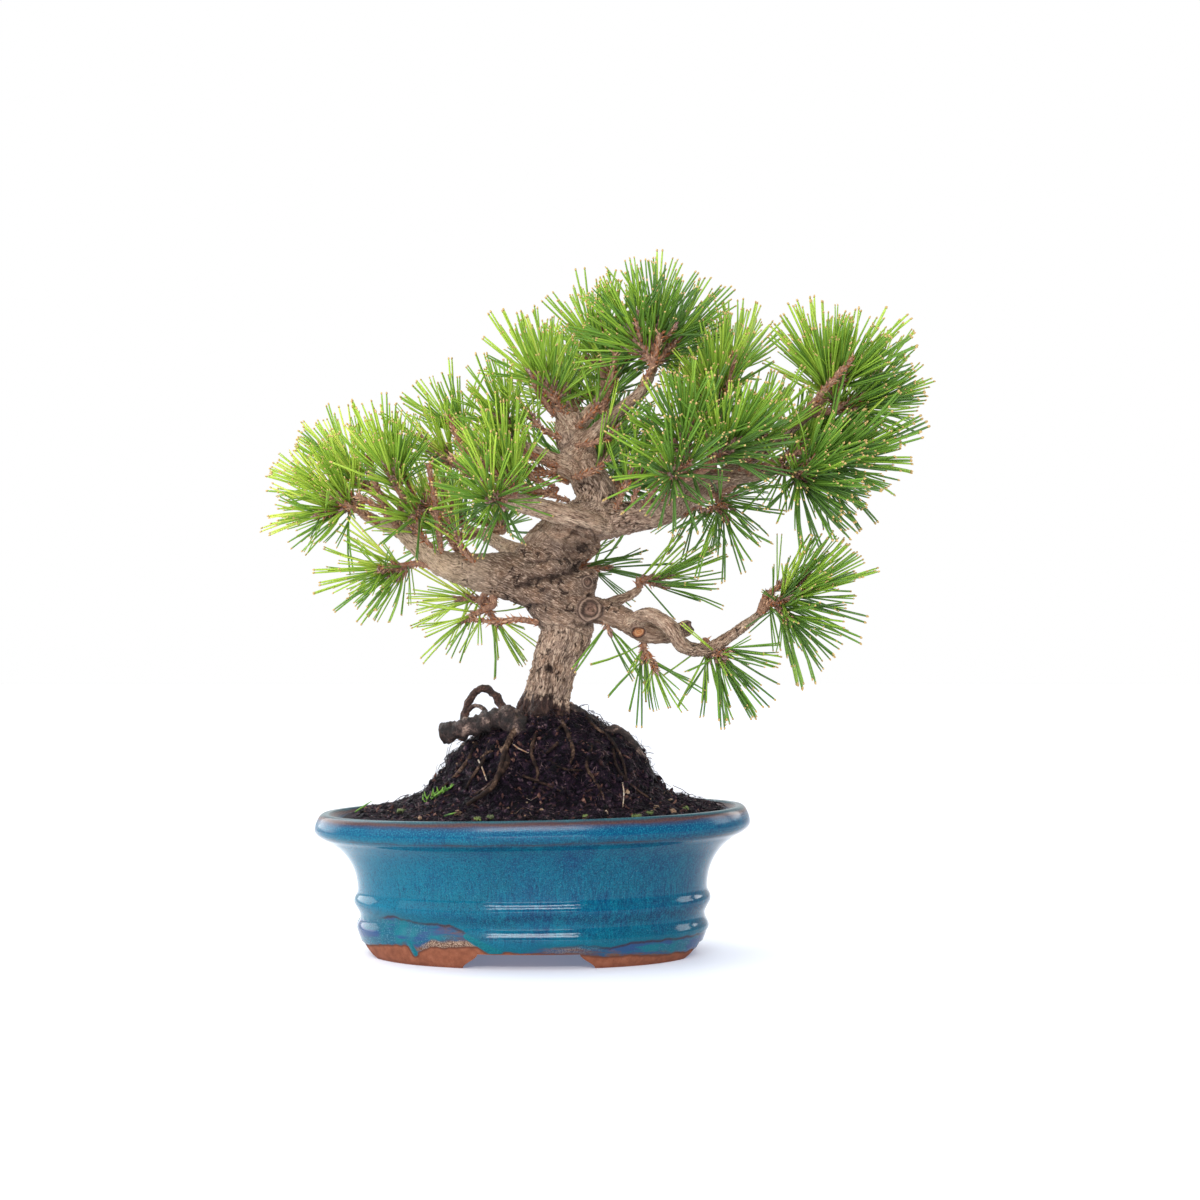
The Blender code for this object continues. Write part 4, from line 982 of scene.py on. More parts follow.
def makeWood():
    lines = {name: limbLine(name, wood["step"]) for name in ("trunk", *limbs)}
    points, faces = [], []
    for name, line in lines.items():
        onTrunk = name == "trunk"
        rings = tubeRings(line, wood["sides"] * (2 if onTrunk else 1), trunkRelief if onTrunk else None)
        got, made = loft(rings)
        faces += [tuple(i + len(points) for i in face) for face in made]
        points += got
    for stem in (*stemLines, curveThrough(lump, 2.0)):
        got, made = loft(tubeRings(stem, 12))
        faces += [tuple(i + len(points) for i in face) for face in made]
        points += got
    obj = makeObject("trunk_and_boughs", points, faces)
    remesh = obj.modifiers.new("remesh", "REMESH")
    remesh.mode = "VOXEL"
    remesh.voxel_size = wood["voxel"] * mm
    smooth = obj.modifiers.new("smooth", "SMOOTH")
    smooth.factor = 0.5
    smooth.iterations = 7
    evaluated(obj)
    frames = [(limb, *row) for limb, line in enumerate(lines.values()) for row in limbFrames(line)]
    finder = kdtree.KDTree(len(frames))
    for i, row in enumerate(frames):
        finder.insert(row[1], i)
    finder.balance()
    cuts = [(kind, Vector(c), Vector(n).normalized(), *rest) for kind, c, n, *rest in scars]
    woundPlace, woundOut = Vector(wound[0]), Vector(wound[1]).normalized()
    ages, knees, shadeAndDarkBark, cracks, marks, wounds, moved, grain = [], [], [], [], [], [], [], []
    for vertex in obj.data.vertices:
        p = (vertex.co - potMiddle) / mm
        normal = vertex.normal
        limb, near, radius, axis, side, up, rise = frames[finder.find(p)[1]]
        off = p - near
        g = Vector((off.dot(side), off.dot(up), rise + off.dot(axis) + limb * 37.0))
        grain.append(g)
        age = smoothstep(3.2, 9.5, radius)
        knee = smoothstep(178, 190, p.z) * (1 - smoothstep(222, 236, p.z)) * smoothstep(-38, -20, p.x) if age > 0.4 else 0.0
        flaky = age * (1 - 0.8 * knee)
        # fields that are nought along the middle of each crack
        stretched = Vector((g.x / 4.2, g.y / 4.2, g.z / 7.0)) + noise.noise_vector(g / 3.6) * 0.75
        distances, _ = noise.voronoi(stretched)
        plate = (distances[1] - distances[0]) * 1.9
        swayed = p + noise.noise_vector(p / 9) * 3.0
        rolled = Vector((swayed.dot(rollAlong) / 9.0, swayed.dot(rollAcross) / 1.9, p.y / 4.0))
        curled = Vector((g.x / 1.9, g.y / 1.9, g.z / 9.0)) + noise.noise_vector(g / 6) * 0.5
        wrinkle = abs(noise.noise(rolled if knee > 0.5 else curled)) * 3.2
        crack = min(plate + 1.2 * (1 - flaky), wrinkle + 0.9 * flaky, 1.0)
        rough = noise.fractal(g / 3.2, 0.7, 2.1, 4)
        fine = noise.fractal(p / 1.1, 0.8, 2.1, 2)
        if knee > 0:
            slab = Vector((swayed.dot(rollAlong) / 9.5, swayed.dot(rollAcross) / 4.2, p.y / 6.0))
            distances, _ = noise.voronoi(slab)
            broken = max(0.0, noise.noise(p / 6 + Vector((40, 0, 0))) + 0.1) * 2.4
            crack = min(crack, (distances[1] - distances[0]) * 1.9 + broken + 1.5 * (1 - knee))
        valley = 1 - smoothstep(0.0, 0.3, crack)
        height = -(0.55 * flaky + 0.42 * age * (1 - flaky) + 0.12) * valley
        height += (0.55 * flaky + 0.4) * rough + 0.16 * fine
        # painted shade in the valleys of the rough bark
        shade = max(0.0, -rough) * 0.25
        if normal.y < 0.2 and p.y < 4 and -30 < p.x < 44:
            front = smoothstep(0.2, -0.4, normal.y)
            jagged = p + noise.noise_vector(p / 3.4) * 1.6
            # painted shade: each fold darkens its crease by its dark share, and the lump with its own dark bark
            for line, half, out, dark in folds:
                share = front * math.exp(-((nearestOn(line, jagged.x, jagged.z) / half) ** 2))
                height += out * share
                shade = max(shade, share * dark)
                if out < 0:
                    crack = min(crack, 1.15 - share * dark + 0.35 * noise.noise(p / 2.2))
            burl = front * math.exp(-(((p.x - 28) / 9) ** 2) - ((p.z - 225) / 8) ** 2)
            height += 2.6 * burl * noise.fractal(p / 3.2, 0.7, 2.0, 3)
            distances, _ = noise.voronoi(jagged / 3.4)
            knob = distances[1] - distances[0]
            height -= 1.3 * burl * (1 - smoothstep(0.0, 0.32, knob))
            crack = min(crack, knob * 1.1 + 1.2 * (1 - burl))
            # the burl's own dark bark, kept with the painted shade
            shade = max(shade, 0.9 * burl * smoothstep(-0.1, 0.25, noise.noise(p / 2.7)))
        mark = 9.0
        knees.append(knee)
        for kind, *scar in cuts:
            lift, flat = scarRelief(p, normal, *scar)
            height += lift
            if kind == "ringed":
                mark = min(mark, flat)
            elif flat < 2.2:
                # painted shade inside the hollow scar
                shade = max(shade, 1 - smoothstep(0.7, 1.3, flat))
                crack = min(crack, smoothstep(0.5, 1.15, flat + 0.5 * noise.noise(p / 1.6)) + 0.08)
        off = p - woundPlace
        raw = 9.0
        if abs(off.y) < 8 and normal.dot(woundOut) > 0.15:
            raw = Vector((off.x / wound[2], off.z / wound[3])).length
            height += 0.8 * math.exp(-(((raw - 1.15) / 0.22) ** 2)) - 0.5 * (1 - smoothstep(0.8, 1.0, raw))
        moved.append(vertex.co + normal * height * mm)
        ages.append(age)
        cracks.append(crack)
        shadeAndDarkBark.append(shade)
        marks.append(min(mark, 3.0))
        wounds.append(min(raw, 3.0))
    for vertex, place in zip(obj.data.vertices, moved):
        vertex.co = place
    obj.data.update()
    obj.data.shade_smooth()
    setAttribute(obj, "age", ages)
    setAttribute(obj, "knee", knees)
    setAttribute(obj, "shade", shadeAndDarkBark)
    setAttribute(obj, "crack", cracks)
    setAttribute(obj, "scar", marks)
    setAttribute(obj, "wound", wounds)
    attribute = obj.data.attributes.new("grain", "FLOAT_VECTOR", "POINT")
    attribute.data.foreach_set("vector", (np.array(grain, np.float32) * mm).ravel())
    return obj


def barkMaterial():
    material, tree, shader = newMaterial("bark")
    place = objectPlace(tree)
    grain = addNode(tree, "ShaderNodeAttribute", attribute_name="grain").outputs["Vector"]
    along = addNode(tree, "ShaderNodeMapping", {"Vector": grain, "Scale": (1, 1, 0.23)}).outputs["Vector"]
    across = addNode(tree, "ShaderNodeMapping", {"Vector": grain, "Scale": (1, 1, 3.2)}).outputs["Vector"]
    patches = noiseOf(tree, place, 80, 4, 0.65)
    knee = attributeOf(tree, "knee")
    rolled = addNode(tree, "ShaderNodeMapping", {"Vector": place, "Rotation": (0, -0.445, 0)}).outputs["Vector"]
    rolled = addNode(tree, "ShaderNodeMapping", {"Vector": rolled, "Scale": (0.2, 0.6, 1)}).outputs["Vector"]

    def grainNoise(scale, detail, roughness):
        amount = addNode(tree, "ShaderNodeMix", {0: knee, 2: noiseOf(tree, along, scale, detail, roughness),
                                                 3: noiseOf(tree, rolled, scale, detail, roughness)}, data_type="FLOAT")
        return amount.outputs[0]

    flakes = grainNoise(400.0, 5.0, 0.72)
    fibres = grainNoise(1400.0, 4.0, 0.7)
    dashes = noiseOf(tree, across, 190, 3, 0.6)
    age = attributeOf(tree, "age")
    old = ramp(tree, flakes, (
        (0.28, (0.075, 0.042, 0.028)), (0.42, (0.20, 0.125, 0.085)), (0.50, (0.32, 0.215, 0.155)),
        (0.58, (0.50, 0.365, 0.27)), (0.70, (0.44, 0.31, 0.22))))
    young = ramp(tree, flakes, (
        (0.28, (0.13, 0.070, 0.045)), (0.42, (0.27, 0.165, 0.110)), (0.52, (0.40, 0.275, 0.190)), (0.66, (0.54, 0.415, 0.305))))
    colour = mixColour(tree, age, young, old)
    colour = mixColour(tree, mapped(tree, knee, 0.0, 1.0, 0.0, 0.66), colour, (0.100, 0.056, 0.036))
    colour = mixColour(tree, mapped(tree, patches, 0.5, 0.7, 0.0, 0.45), colour, (0.36, 0.20, 0.115))
    colour = mixColour(tree, mapped(tree, patches, 0.46, 0.32, 0.0, 0.5), colour, (0.17, 0.125, 0.105))
    # painted light: the left limb is painted paler, for the stronger light it stands in
    side = addNode(tree, "ShaderNodeSeparateXYZ", {0: place}).outputs["X"]
    colour = mixColour(tree, mapped(tree, side, -0.055, -0.085, 0.0, 0.45), colour, (0.58, 0.44, 0.29))
    # the limbs on the right are painted darker and browner: partly their ruddier bark, partly painted shade under the
    # foliage above them
    colour = mixColour(tree, mapped(tree, side, -0.002, 0.02, 0.0, 0.3), colour, (0.225, 0.138, 0.098))
    colour = mixColour(tree, mapped(tree, fibres, 0.53, 0.65, 0.0, 0.76), colour, (0.78, 0.58, 0.44))
    colour = mixColour(tree, mapped(tree, fibres, 0.475, 0.36, 0.0, 0.92), colour, (0.068, 0.038, 0.028))
    dashed = addNode(tree, "ShaderNodeMath", {0: mapped(tree, dashes, 0.62, 0.68, 0.0, 0.45), 1: mapped(tree, age, 0.9, 0.3)},
                     operation="MULTIPLY").outputs[0]
    colour = mixColour(tree, dashed, colour, (0.07, 0.035, 0.027))
    frayed = addNode(tree, "ShaderNodeMath", {0: attributeOf(tree, "crack"), 1: mapped(tree, fibres, 0.3, 0.7, -0.14, 0.14)},
                     operation="ADD").outputs[0]
    clusters = noiseOf(tree, place, 130, 2, 0.5)
    frayed = addNode(tree, "ShaderNodeMath", {0: frayed, 1: mapped(tree, clusters, 0.40, 0.60, -0.04, 0.15)},
                     operation="ADD").outputs[0]
    frayed = addNode(tree, "ShaderNodeMath", {0: knee, 1: -0.08, 2: frayed}, operation="MULTIPLY_ADD").outputs[0]
    dark = mapped(tree, frayed, 0.02, 0.19, 0.94, 0.0)
    colour = mixColour(tree, dark, colour, (0.042, 0.023, 0.016))
    # painted shade in the bark's creases, hollows and valleys, with the burl's own dark bark, from the shade attribute
    colour = mixColour(tree, mapped(tree, attributeOf(tree, "shade"), 0.1, 0.95, 0.0, 0.85), colour, (0.040, 0.022, 0.016))
    # the rings of old cuts, from their middle outward
    marked = addNode(tree, "ShaderNodeMath", {0: attributeOf(tree, "scar"), 1: mapped(tree, flakes, 0.3, 0.7, -0.13, 0.13)},
                     operation="ADD").outputs[0]
    heart = ramp(tree, addNode(tree, "ShaderNodeMath", {0: marked, 1: 3.0}, operation="DIVIDE").outputs[0], (
        (0.0, (0.13, 0.065, 0.045)), (0.07, (0.30, 0.17, 0.12)), (0.12, (0.10, 0.050, 0.038)), (0.17, (0.30, 0.18, 0.13)),
        (0.22, (0.15, 0.085, 0.062)), (0.262, (0.028, 0.016, 0.013)), (0.30, (0.045, 0.027, 0.021)), (0.335, (0.26, 0.17, 0.125)),
        (0.375, (0.40, 0.28, 0.21)), (0.41, (0.17, 0.105, 0.078)), (0.455, (0.045, 0.027, 0.020)), (0.50, (0.20, 0.13, 0.10))))
    colour = mixColour(tree, mapped(tree, marked, 1.58, 1.5, 0.0, 0.85), colour, heart)
    cutWood = addNode(tree, "ShaderNodeMath", {0: attributeOf(tree, "wound"), 1: mapped(tree, flakes, 0.3, 0.7, -0.12, 0.12)},
                      operation="ADD").outputs[0]
    raw = ramp(tree, addNode(tree, "ShaderNodeMath", {0: cutWood, 1: 3.0}, operation="DIVIDE").outputs[0], (
        (0.0, (0.30, 0.085, 0.030)), (0.08, (0.52, 0.25, 0.11)), (0.15, (0.36, 0.12, 0.045)), (0.22, (0.54, 0.30, 0.15)),
        (0.28, (0.30, 0.11, 0.05)), (0.33, (0.06, 0.028, 0.019)), (0.38, (0.10, 0.055, 0.038)), (0.43, (0.30, 0.20, 0.15))))
    colour = mixColour(tree, mapped(tree, cutWood, 1.45, 1.3), colour, raw)
    height = addNode(tree, "ShaderNodeSeparateXYZ", {0: place}).outputs["Z"]
    # the soaked foot reaches higher on the left
    height = addNode(tree, "ShaderNodeMath", {0: side, 1: 0.3, 2: height}, operation="MULTIPLY_ADD").outputs[0]
    stray = mapped(tree, patches, 0.35, 0.65, -0.003, 0.003)
    border = addNode(tree, "ShaderNodeMath", {0: height, 1: stray}, operation="ADD").outputs[0]
    border = addNode(tree, "ShaderNodeMath", {0: border, 1: mapped(tree, flakes, 0.3, 0.7, -0.003, 0.003)}, operation="ADD").outputs[0]
    wet = mapped(tree, border, 0.1325, 0.1295)
    soaked = mixColour(tree, mapped(tree, flakes, 0.48, 0.66), (0.028, 0.013, 0.011), (0.125, 0.064, 0.048))
    colour = mixColour(tree, wet, colour, soaked)
    tree.links.new(colour, shader.inputs["Base Color"])
    tree.links.new(mapped(tree, wet, 0.0, 1.0, 0.85, 0.5), shader.inputs["Roughness"])
    shader.inputs["Specular IOR Level"].default_value = 0.3
    relief = addNode(tree, "ShaderNodeMath", {0: fibres, 1: flakes}, operation="ADD").outputs[0]
    relief = addNode(tree, "ShaderNodeMath", {0: relief, 1: dark}, operation="SUBTRACT").outputs[0]
    tree.links.new(bumpOf(tree, relief, 0.0014, 1.0), shader.inputs["Normal"])
    return material


woodPiece = makeWood()
wear(woodPiece, barkMaterial(), "bark", "trunk", *limbs)
print("wood", len(woodPiece.data.polygons), "faces", len(woodPiece.data.loop_triangles), "triangles")


# twigs with scaly bark
def makeTwigs():
    points, faces = [], []
    for number, rows in enumerate(twigLines):
        line = curveThrough(rows, twig["step"])

        def scales(place, out, turn):
            return 1 + 0.22 * noise.noise(place / 0.9 + Vector((number, 0, 0))) + 0.1 * math.sin(turn * 5 + place.length * 2.4)

        got, made = loft(tubeRings(line, twig["sides"], scales))
        faces += [tuple(i + len(points) for i in face) for face in made]
        points += got
    return makeObject("twigs", points, faces)


def twigMaterial():
    material, tree, shader = newMaterial("twig")
    place = objectPlace(tree)
    patches = noiseOf(tree, place, 700, 4, 0.7)
    colour = ramp(tree, patches, (
        (0.3, (0.080, 0.034, 0.022)), (0.5, (0.25, 0.125, 0.078)), (0.66, (0.41, 0.25, 0.165)), (0.78, (0.52, 0.39, 0.30))))
    tree.links.new(colour, shader.inputs["Base Color"])
    shader.inputs["Roughness"].default_value = 0.8
    tree.links.new(bumpOf(tree, patches, 0.0006, 0.8), shader.inputs["Normal"])
    return material


bud = {
    "lengths": (8.0, 5.0),  # on main and side shoots
    "radii": (1.5, 1.1),
    "profile": ((0.0, 0.85), (0.12, 1.05), (0.3, 1.12), (0.5, 1.0), (0.7, 0.78), (0.86, 0.45), (1.0, 0.06)),
    "sides": 10,
    "rings": 15,
    "scales": 0.2,
}


def makeBuds():
    points, faces = [], []
    for number, ((foot, tip), reach, pairs, *_) in enumerate(shoots):
        side = pairs < 17
        length, radius = bud["lengths"][side], bud["radii"][side]
        heading = (tip - foot).normalized()
        line = []
        for i in range(bud["rings"]):
            t = i / (bud["rings"] - 1)
            width = float(np.interp(t, [row[0] for row in bud["profile"]], [row[1] for row in bud["profile"]]))
            line.append((tip + heading * (t * length - 1.0), radius * width))

        def scales(place, out, turn):
            t = (place - tip).dot(heading)
            return 1 + bud["scales"] * (((turn * 3 / math.tau + t / 1.1 + number * 0.37) % 1.0) - 0.5)

        got, made = loft(tubeRings(line, bud["sides"], scales))
        faces += [tuple(i + len(points) for i in face) for face in made]
        points += got
    return makeObject("buds", points, faces)


def budMaterial():
    material, tree, shader = newMaterial("bud")
    resin = noiseOf(tree, objectPlace(tree), 900, 3, 0.6)
    colour = ramp(tree, resin, (
        (0.3, (0.10, 0.035, 0.03)), (0.46, (0.22, 0.09, 0.07)), (0.58, (0.42, 0.30, 0.27)), (0.7, (0.56, 0.49, 0.46))))
    tree.links.new(colour, shader.inputs["Base Color"])
    shader.inputs["Roughness"].default_value = 0.6
    tree.links.new(bumpOf(tree, resin, 0.0005, 0.6), shader.inputs["Normal"])
    return material


twigPiece = makeTwigs()
wear(twigPiece, twigMaterial(), "bark")
budPiece = makeBuds()
wear(budPiece, budMaterial(), "needles")
print("twigs", len(twigPiece.data.polygons), "faces, buds", len(budPiece.data.polygons))


# needles grow on the shoots in pairs, by geometry nodes
needle = {
    "radius": 0.0168,  # over the length
    "levels": (0.0, 0.35, 0.68, 0.93, 1.0),
    "widths": (0.75, 1.0, 1.0, 0.9, 0.6),
    "bends": (0.0, 0.05, 0.1, -0.05, 0.16),
    "spread": (1.2, 2.4, 3.6, 1.8, 3.0),
    "leans": (62.0, 8.0),
    "scatter": 12.0,
    "shorter": 0.32,
    "offset": 0.9,
    "stray": 0.16,  # in tone
    "sunny": 0.20,  # in tone, between needles that face the light and those that don't
    "sunward": (-0.45, 0.35, 0.82),
    # name: tone from, tone to, colour
    "tones": {
        "needles_shade": (-9.0, 0.26, (0.090, 0.182, 0.039)),
        "needles_deep": (0.26, 0.42, (0.135, 0.270, 0.036)),
        "needles_mid": (0.42, 0.58, (0.235, 0.395, 0.042)),
        "needles_light": (0.58, 0.76, (0.365, 0.525, 0.060)),
        "needles_sunlit": (0.76, 9.0, (0.560, 0.660, 0.110)),
    },
    # small parts: name, shape, tone from and to, colour
    "parts": (
        ("needle_tips", "tip", -9.0, 9.0, (0.52, 0.36, 0.14)),
        ("needle_sheaths", "sheath", -9.0, 9.0, (0.25, 0.155, 0.115)),
    ),
}

# the dry scales on the shoots: their reach in mm, spacing, lean, and their colours by share
bract = {
    "reach": 4.2,
    "spacing": 0.55,
    "lean": 30.0,
    "offset": 1.1,
    "tones": {
        "bracts_rust": (-9.0, 0.5, (0.36, 0.135, 0.058)),
        "bracts_tan": (0.5, 9.0, (0.52, 0.30, 0.19)),
    },
}


def partShape(variant, part):
    bend, spread = needle["bends"][variant], math.radians(needle["spread"][variant])
    points, faces = [], []
    steps = {
        "needle": list(zip(needle["levels"], needle["widths"])),
        "tip": [(0.974, 0.98), (0.99, 1.05), (1.006, 0.6)],
        "sheath": [(0.0, 1.5), (0.05, 1.5), (0.1, 1.1)],
    }.get(part)
    for side in (-1, 1) if steps else ():
        rings = []
        for level, width in steps:
            middle = Vector((side * math.sin(spread) * level, bend * level * level, level))
            ring = []
            for k in range(3):
                turn = math.tau * k / 3 + (0 if side > 0 else math.pi)
                ring.append(middle + Vector((math.cos(turn), math.sin(turn), 0)) * needle["radius"] * width)
            rings.append(ring)
        got, made = loft(rings)
        faces += [tuple(i + len(points) for i in face) for face in made]
        points += got
    if not steps:
        width = 0.16 + 0.03 * variant
        points = [Vector(p) for p in (
            (-width, 0, 0), (width, 0, 0), (0, 0.14, 0.3), (0, -0.06, 0.35), (bend, 0.2 + bend, 1.0))]
        faces = [(0, 1, 3), (1, 0, 2), (0, 3, 4), (3, 1, 4), (2, 0, 4), (1, 2, 4)]
    mesh = bpy.data.meshes.new(part)
    mesh.from_pydata([tuple(p) for p in points], [], faces)
    mesh.shade_smooth()
    return bpy.data.objects.new(f"{part}{variant}", mesh)


def sourceObject(rows):
    # each row: its points, then reach, count, tone, lift and fan
    points, edges, values = [], [], []
    for line, *rest in rows:
        edges += [(len(points) + i, len(points) + i + 1) for i in range(len(line) - 1)]
        points += line
        values += [rest] * len(line)
    mesh = bpy.data.meshes.new("source")
    mesh.from_pydata(toWorld(points).tolist(), edges, [])
    for column, name in enumerate(("reach", "count", "tone", "lift", "fan")):
        attribute = mesh.attributes.new(name, "FLOAT", "POINT")
        attribute.data.foreach_set("value", np.array([row[column] for row in values], np.float32))
    obj = bpy.data.objects.new("source", mesh)
    scene.collection.objects.link(obj)
    return obj


def growthTree():
    tree = bpy.data.node_groups.new("needle growth", "GeometryNodeTree")
    sockets = {
        "Geometry": "NodeSocketGeometry", "Shapes": "NodeSocketCollection", "Wood": "NodeSocketObject",
        "Material": "NodeSocketMaterial", "Lean at Foot": "NodeSocketFloat", "Lean at Bud": "NodeSocketFloat",
        "Scatter": "NodeSocketFloat", "Shorter": "NodeSocketFloat", "Offset": "NodeSocketFloat",
        "Tone From": "NodeSocketFloat", "Tone To": "NodeSocketFloat", "Stray": "NodeSocketFloat",
        "Sunny": "NodeSocketFloat", "Sunward": "NodeSocketVector", "Low Corner": "NodeSocketVector",
        "High Corner": "NodeSocketVector", "Seed": "NodeSocketInt",
    }
    for name, kind in sockets.items():
        tree.interface.new_socket(name, in_out="INPUT", socket_type=kind)
    tree.interface.new_socket("Geometry", in_out="OUTPUT", socket_type="NodeSocketGeometry")
    given = addNode(tree, "NodeGroupInput").outputs

    def named(name):
        return addNode(tree, "GeometryNodeInputNamedAttribute", {"Name": name}, data_type="FLOAT").outputs["Attribute"]

    def maths(operation, first, second=0.0, third=0.0):
        return addNode(tree, "ShaderNodeMath", {0: first, 1: second, 2: third}, operation=operation).outputs[0]

    def vectors(operation, first, second=(0, 0, 0), scale=None):
        inputs = {0: first, 1: second}
        node = addNode(tree, "ShaderNodeVectorMath", inputs, operation=operation)
        if scale is not None:
            if isinstance(scale, bpy.types.NodeSocket):
                tree.links.new(scale, node.inputs["Scale"])
            else:
                node.inputs["Scale"].default_value = scale
        return node.outputs["Value" if operation in ("DOT_PRODUCT", "LENGTH") else "Vector"]

    def chance(low, high, number):
        picked = maths("ADD", given["Seed"], number)
        return addNode(tree, "FunctionNodeRandomValue", {"Min": low, "Max": high, "Seed": picked},
                       data_type="FLOAT").outputs[1]

    def stored(geometry, name, value, kind="FLOAT"):
        return addNode(tree, "GeometryNodeStoreNamedAttribute", {
            "Geometry": geometry, "Name": name, "Value": value}, data_type=kind, domain="POINT").outputs["Geometry"]

    curves = addNode(tree, "GeometryNodeMeshToCurve", {"Mesh": given["Geometry"]}).outputs["Curve"]
    curves = addNode(tree, "GeometryNodeResampleCurve", {"Curve": curves, "Count": named("count")}).outputs["Curve"]
    along = addNode(tree, "GeometryNodeSplineParameter").outputs
    tangent = addNode(tree, "GeometryNodeInputTangent").outputs[0]
    normal = addNode(tree, "GeometryNodeInputNormal").outputs[0]
    start = maths("MULTIPLY", named("tone"), 91.0)
    turn = maths("MULTIPLY_ADD", along["Index"], goldenTurn, start)
    out = addNode(tree, "ShaderNodeVectorRotate", {"Vector": normal, "Axis": tangent, "Angle": turn},
                  rotation_type="AXIS_ANGLE").outputs[0]
    span = maths("SUBTRACT", given["Lean at Bud"], given["Lean at Foot"])
    level = maths("MULTIPLY", maths("MULTIPLY_ADD", span, along["Factor"], given["Lean at Foot"]), named("fan"))
    stray = maths("MULTIPLY", given["Scatter"], chance(-1.0, 1.0, 1))
    lean = maths("RADIANS", maths("ADD", level, stray))
    heading = vectors("ADD", vectors("SCALE", tangent, scale=maths("COSINE", lean)),
                      vectors("SCALE", out, scale=maths("SINE", lean)))
    upward = vectors("SCALE", (0, 0, 1), scale=named("lift"))
    heading = vectors("NORMALIZE", vectors("ADD", heading, upward))
    curves = stored(curves, "heading", heading, "FLOAT_VECTOR")
    curves = addNode(tree, "GeometryNodeSetPosition", {
        "Geometry": curves, "Offset": vectors("SCALE", out, scale=given["Offset"])}).outputs["Geometry"]
    points = addNode(tree, "GeometryNodeCurveToPoints", {"Curve": curves}, mode="EVALUATED").outputs["Points"]
    heading = addNode(tree, "GeometryNodeInputNamedAttribute", {"Name": "heading"},
                      data_type="FLOAT_VECTOR").outputs["Attribute"]
    tone = maths("MULTIPLY_ADD", chance(-1.0, 1.0, 2), given["Stray"], named("tone"))
    sunny = vectors("DOT_PRODUCT", heading, given["Sunward"])
    tone = maths("MULTIPLY_ADD", sunny, given["Sunny"], tone)
    inBand = maths("MULTIPLY", maths("GREATER_THAN", tone, given["Tone From"]),
                   maths("LESS_THAN", tone, given["Tone To"]))
    place = addNode(tree, "GeometryNodeInputPosition").outputs[0]
    middle = vectors("SCALE", vectors("ADD", given["Low Corner"], given["High Corner"]), scale=0.5)
    half = vectors("SCALE", vectors("SUBTRACT", given["High Corner"], given["Low Corner"]), scale=0.5)
    wall = vectors("ADD", middle, vectors("MULTIPLY", half, vectors("SIGN", heading)))
    room = vectors("DIVIDE", vectors("SUBTRACT", wall, place), heading)
    room = addNode(tree, "ShaderNodeSeparateXYZ", {0: room}).outputs
    nearest = maths("MINIMUM", maths("MINIMUM", room[0], room[1]), room[2])
    length = maths("MULTIPLY", named("reach"), maths("SUBTRACT", 1.0, maths("MULTIPLY", given["Shorter"], chance(0.0, 1.0, 3))))
    length = maths("MINIMUM", length, nearest)
    woodMesh = addNode(tree, "GeometryNodeObjectInfo", {"Object": given["Wood"]}).outputs["Geometry"]
    away = vectors("ADD", place, vectors("SCALE", heading, scale=0.004))
    hit = addNode(tree, "GeometryNodeRaycast", {
        "Target Geometry": woodMesh, "Source Position": away, "Ray Direction": heading,
        "Ray Length": length}).outputs["Is Hit"]
    keep = maths("GREATER_THAN", maths("SUBTRACT", inBand, hit), 0.5)
    shapes = addNode(tree, "GeometryNodeCollectionInfo", {
        "Collection": given["Shapes"], "Separate Children": True, "Reset Children": True}).outputs[0]
    pick = addNode(tree, "FunctionNodeRandomValue", {
        "Min": 0, "Max": len(needle["bends"]) - 1, "Seed": maths("ADD", given["Seed"], 4)}, data_type="INT").outputs[2]
    turned = addNode(tree, "FunctionNodeAlignRotationToVector", {"Vector": heading}, axis="Z").outputs[0]
    spin = addNode(tree, "FunctionNodeAxisAngleToRotation", {
        "Axis": (0, 0, 1), "Angle": chance(0.0, math.tau, 5)}).outputs[0]
    turned = addNode(tree, "FunctionNodeRotateRotation", {"Rotation": turned, "Rotate By": spin},
                     rotation_space="LOCAL").outputs[0]
    made = addNode(tree, "GeometryNodeInstanceOnPoints", {
        "Points": points, "Selection": keep, "Instance": shapes, "Pick Instance": True,
        "Instance Index": pick, "Rotation": turned, "Scale": length}).outputs[0]
    made = addNode(tree, "GeometryNodeRealizeInstances", {"Geometry": made}).outputs[0]
    made = addNode(tree, "GeometryNodeSetMaterial", {"Geometry": made, "Material": given["Material"]}).outputs[0]
    tree.links.new(made, addNode(tree, "NodeGroupOutput").inputs[0])
    return tree


def grow(name, tree, source, values):
    obj = source.copy()
    obj.data = source.data.copy()
    obj.name = name
    scene.collection.objects.link(obj)
    modifier = obj.modifiers.new("growth", "NODES")
    modifier.node_group = tree
    identifiers = {item.name: item.identifier for item in tree.interface.items_tree
                   if item.item_type == "SOCKET" and item.in_out == "INPUT"}
    for key, value in values.items():
        modifier[identifiers[key]] = value
    return evaluated(obj, name)


def plainMaterial(name, colour, roughness):
    material, tree, shader = newMaterial(name)
    shader.inputs["Base Color"].default_value = (*colour, 1.0)
    shader.inputs["Specular IOR Level"].default_value = 0.16
    stray = noiseOf(tree, objectPlace(tree), 600, 2)
    tree.links.new(mapped(tree, stray, 0.3, 0.7, roughness - 0.08, roughness + 0.12), shader.inputs["Roughness"])
    return material


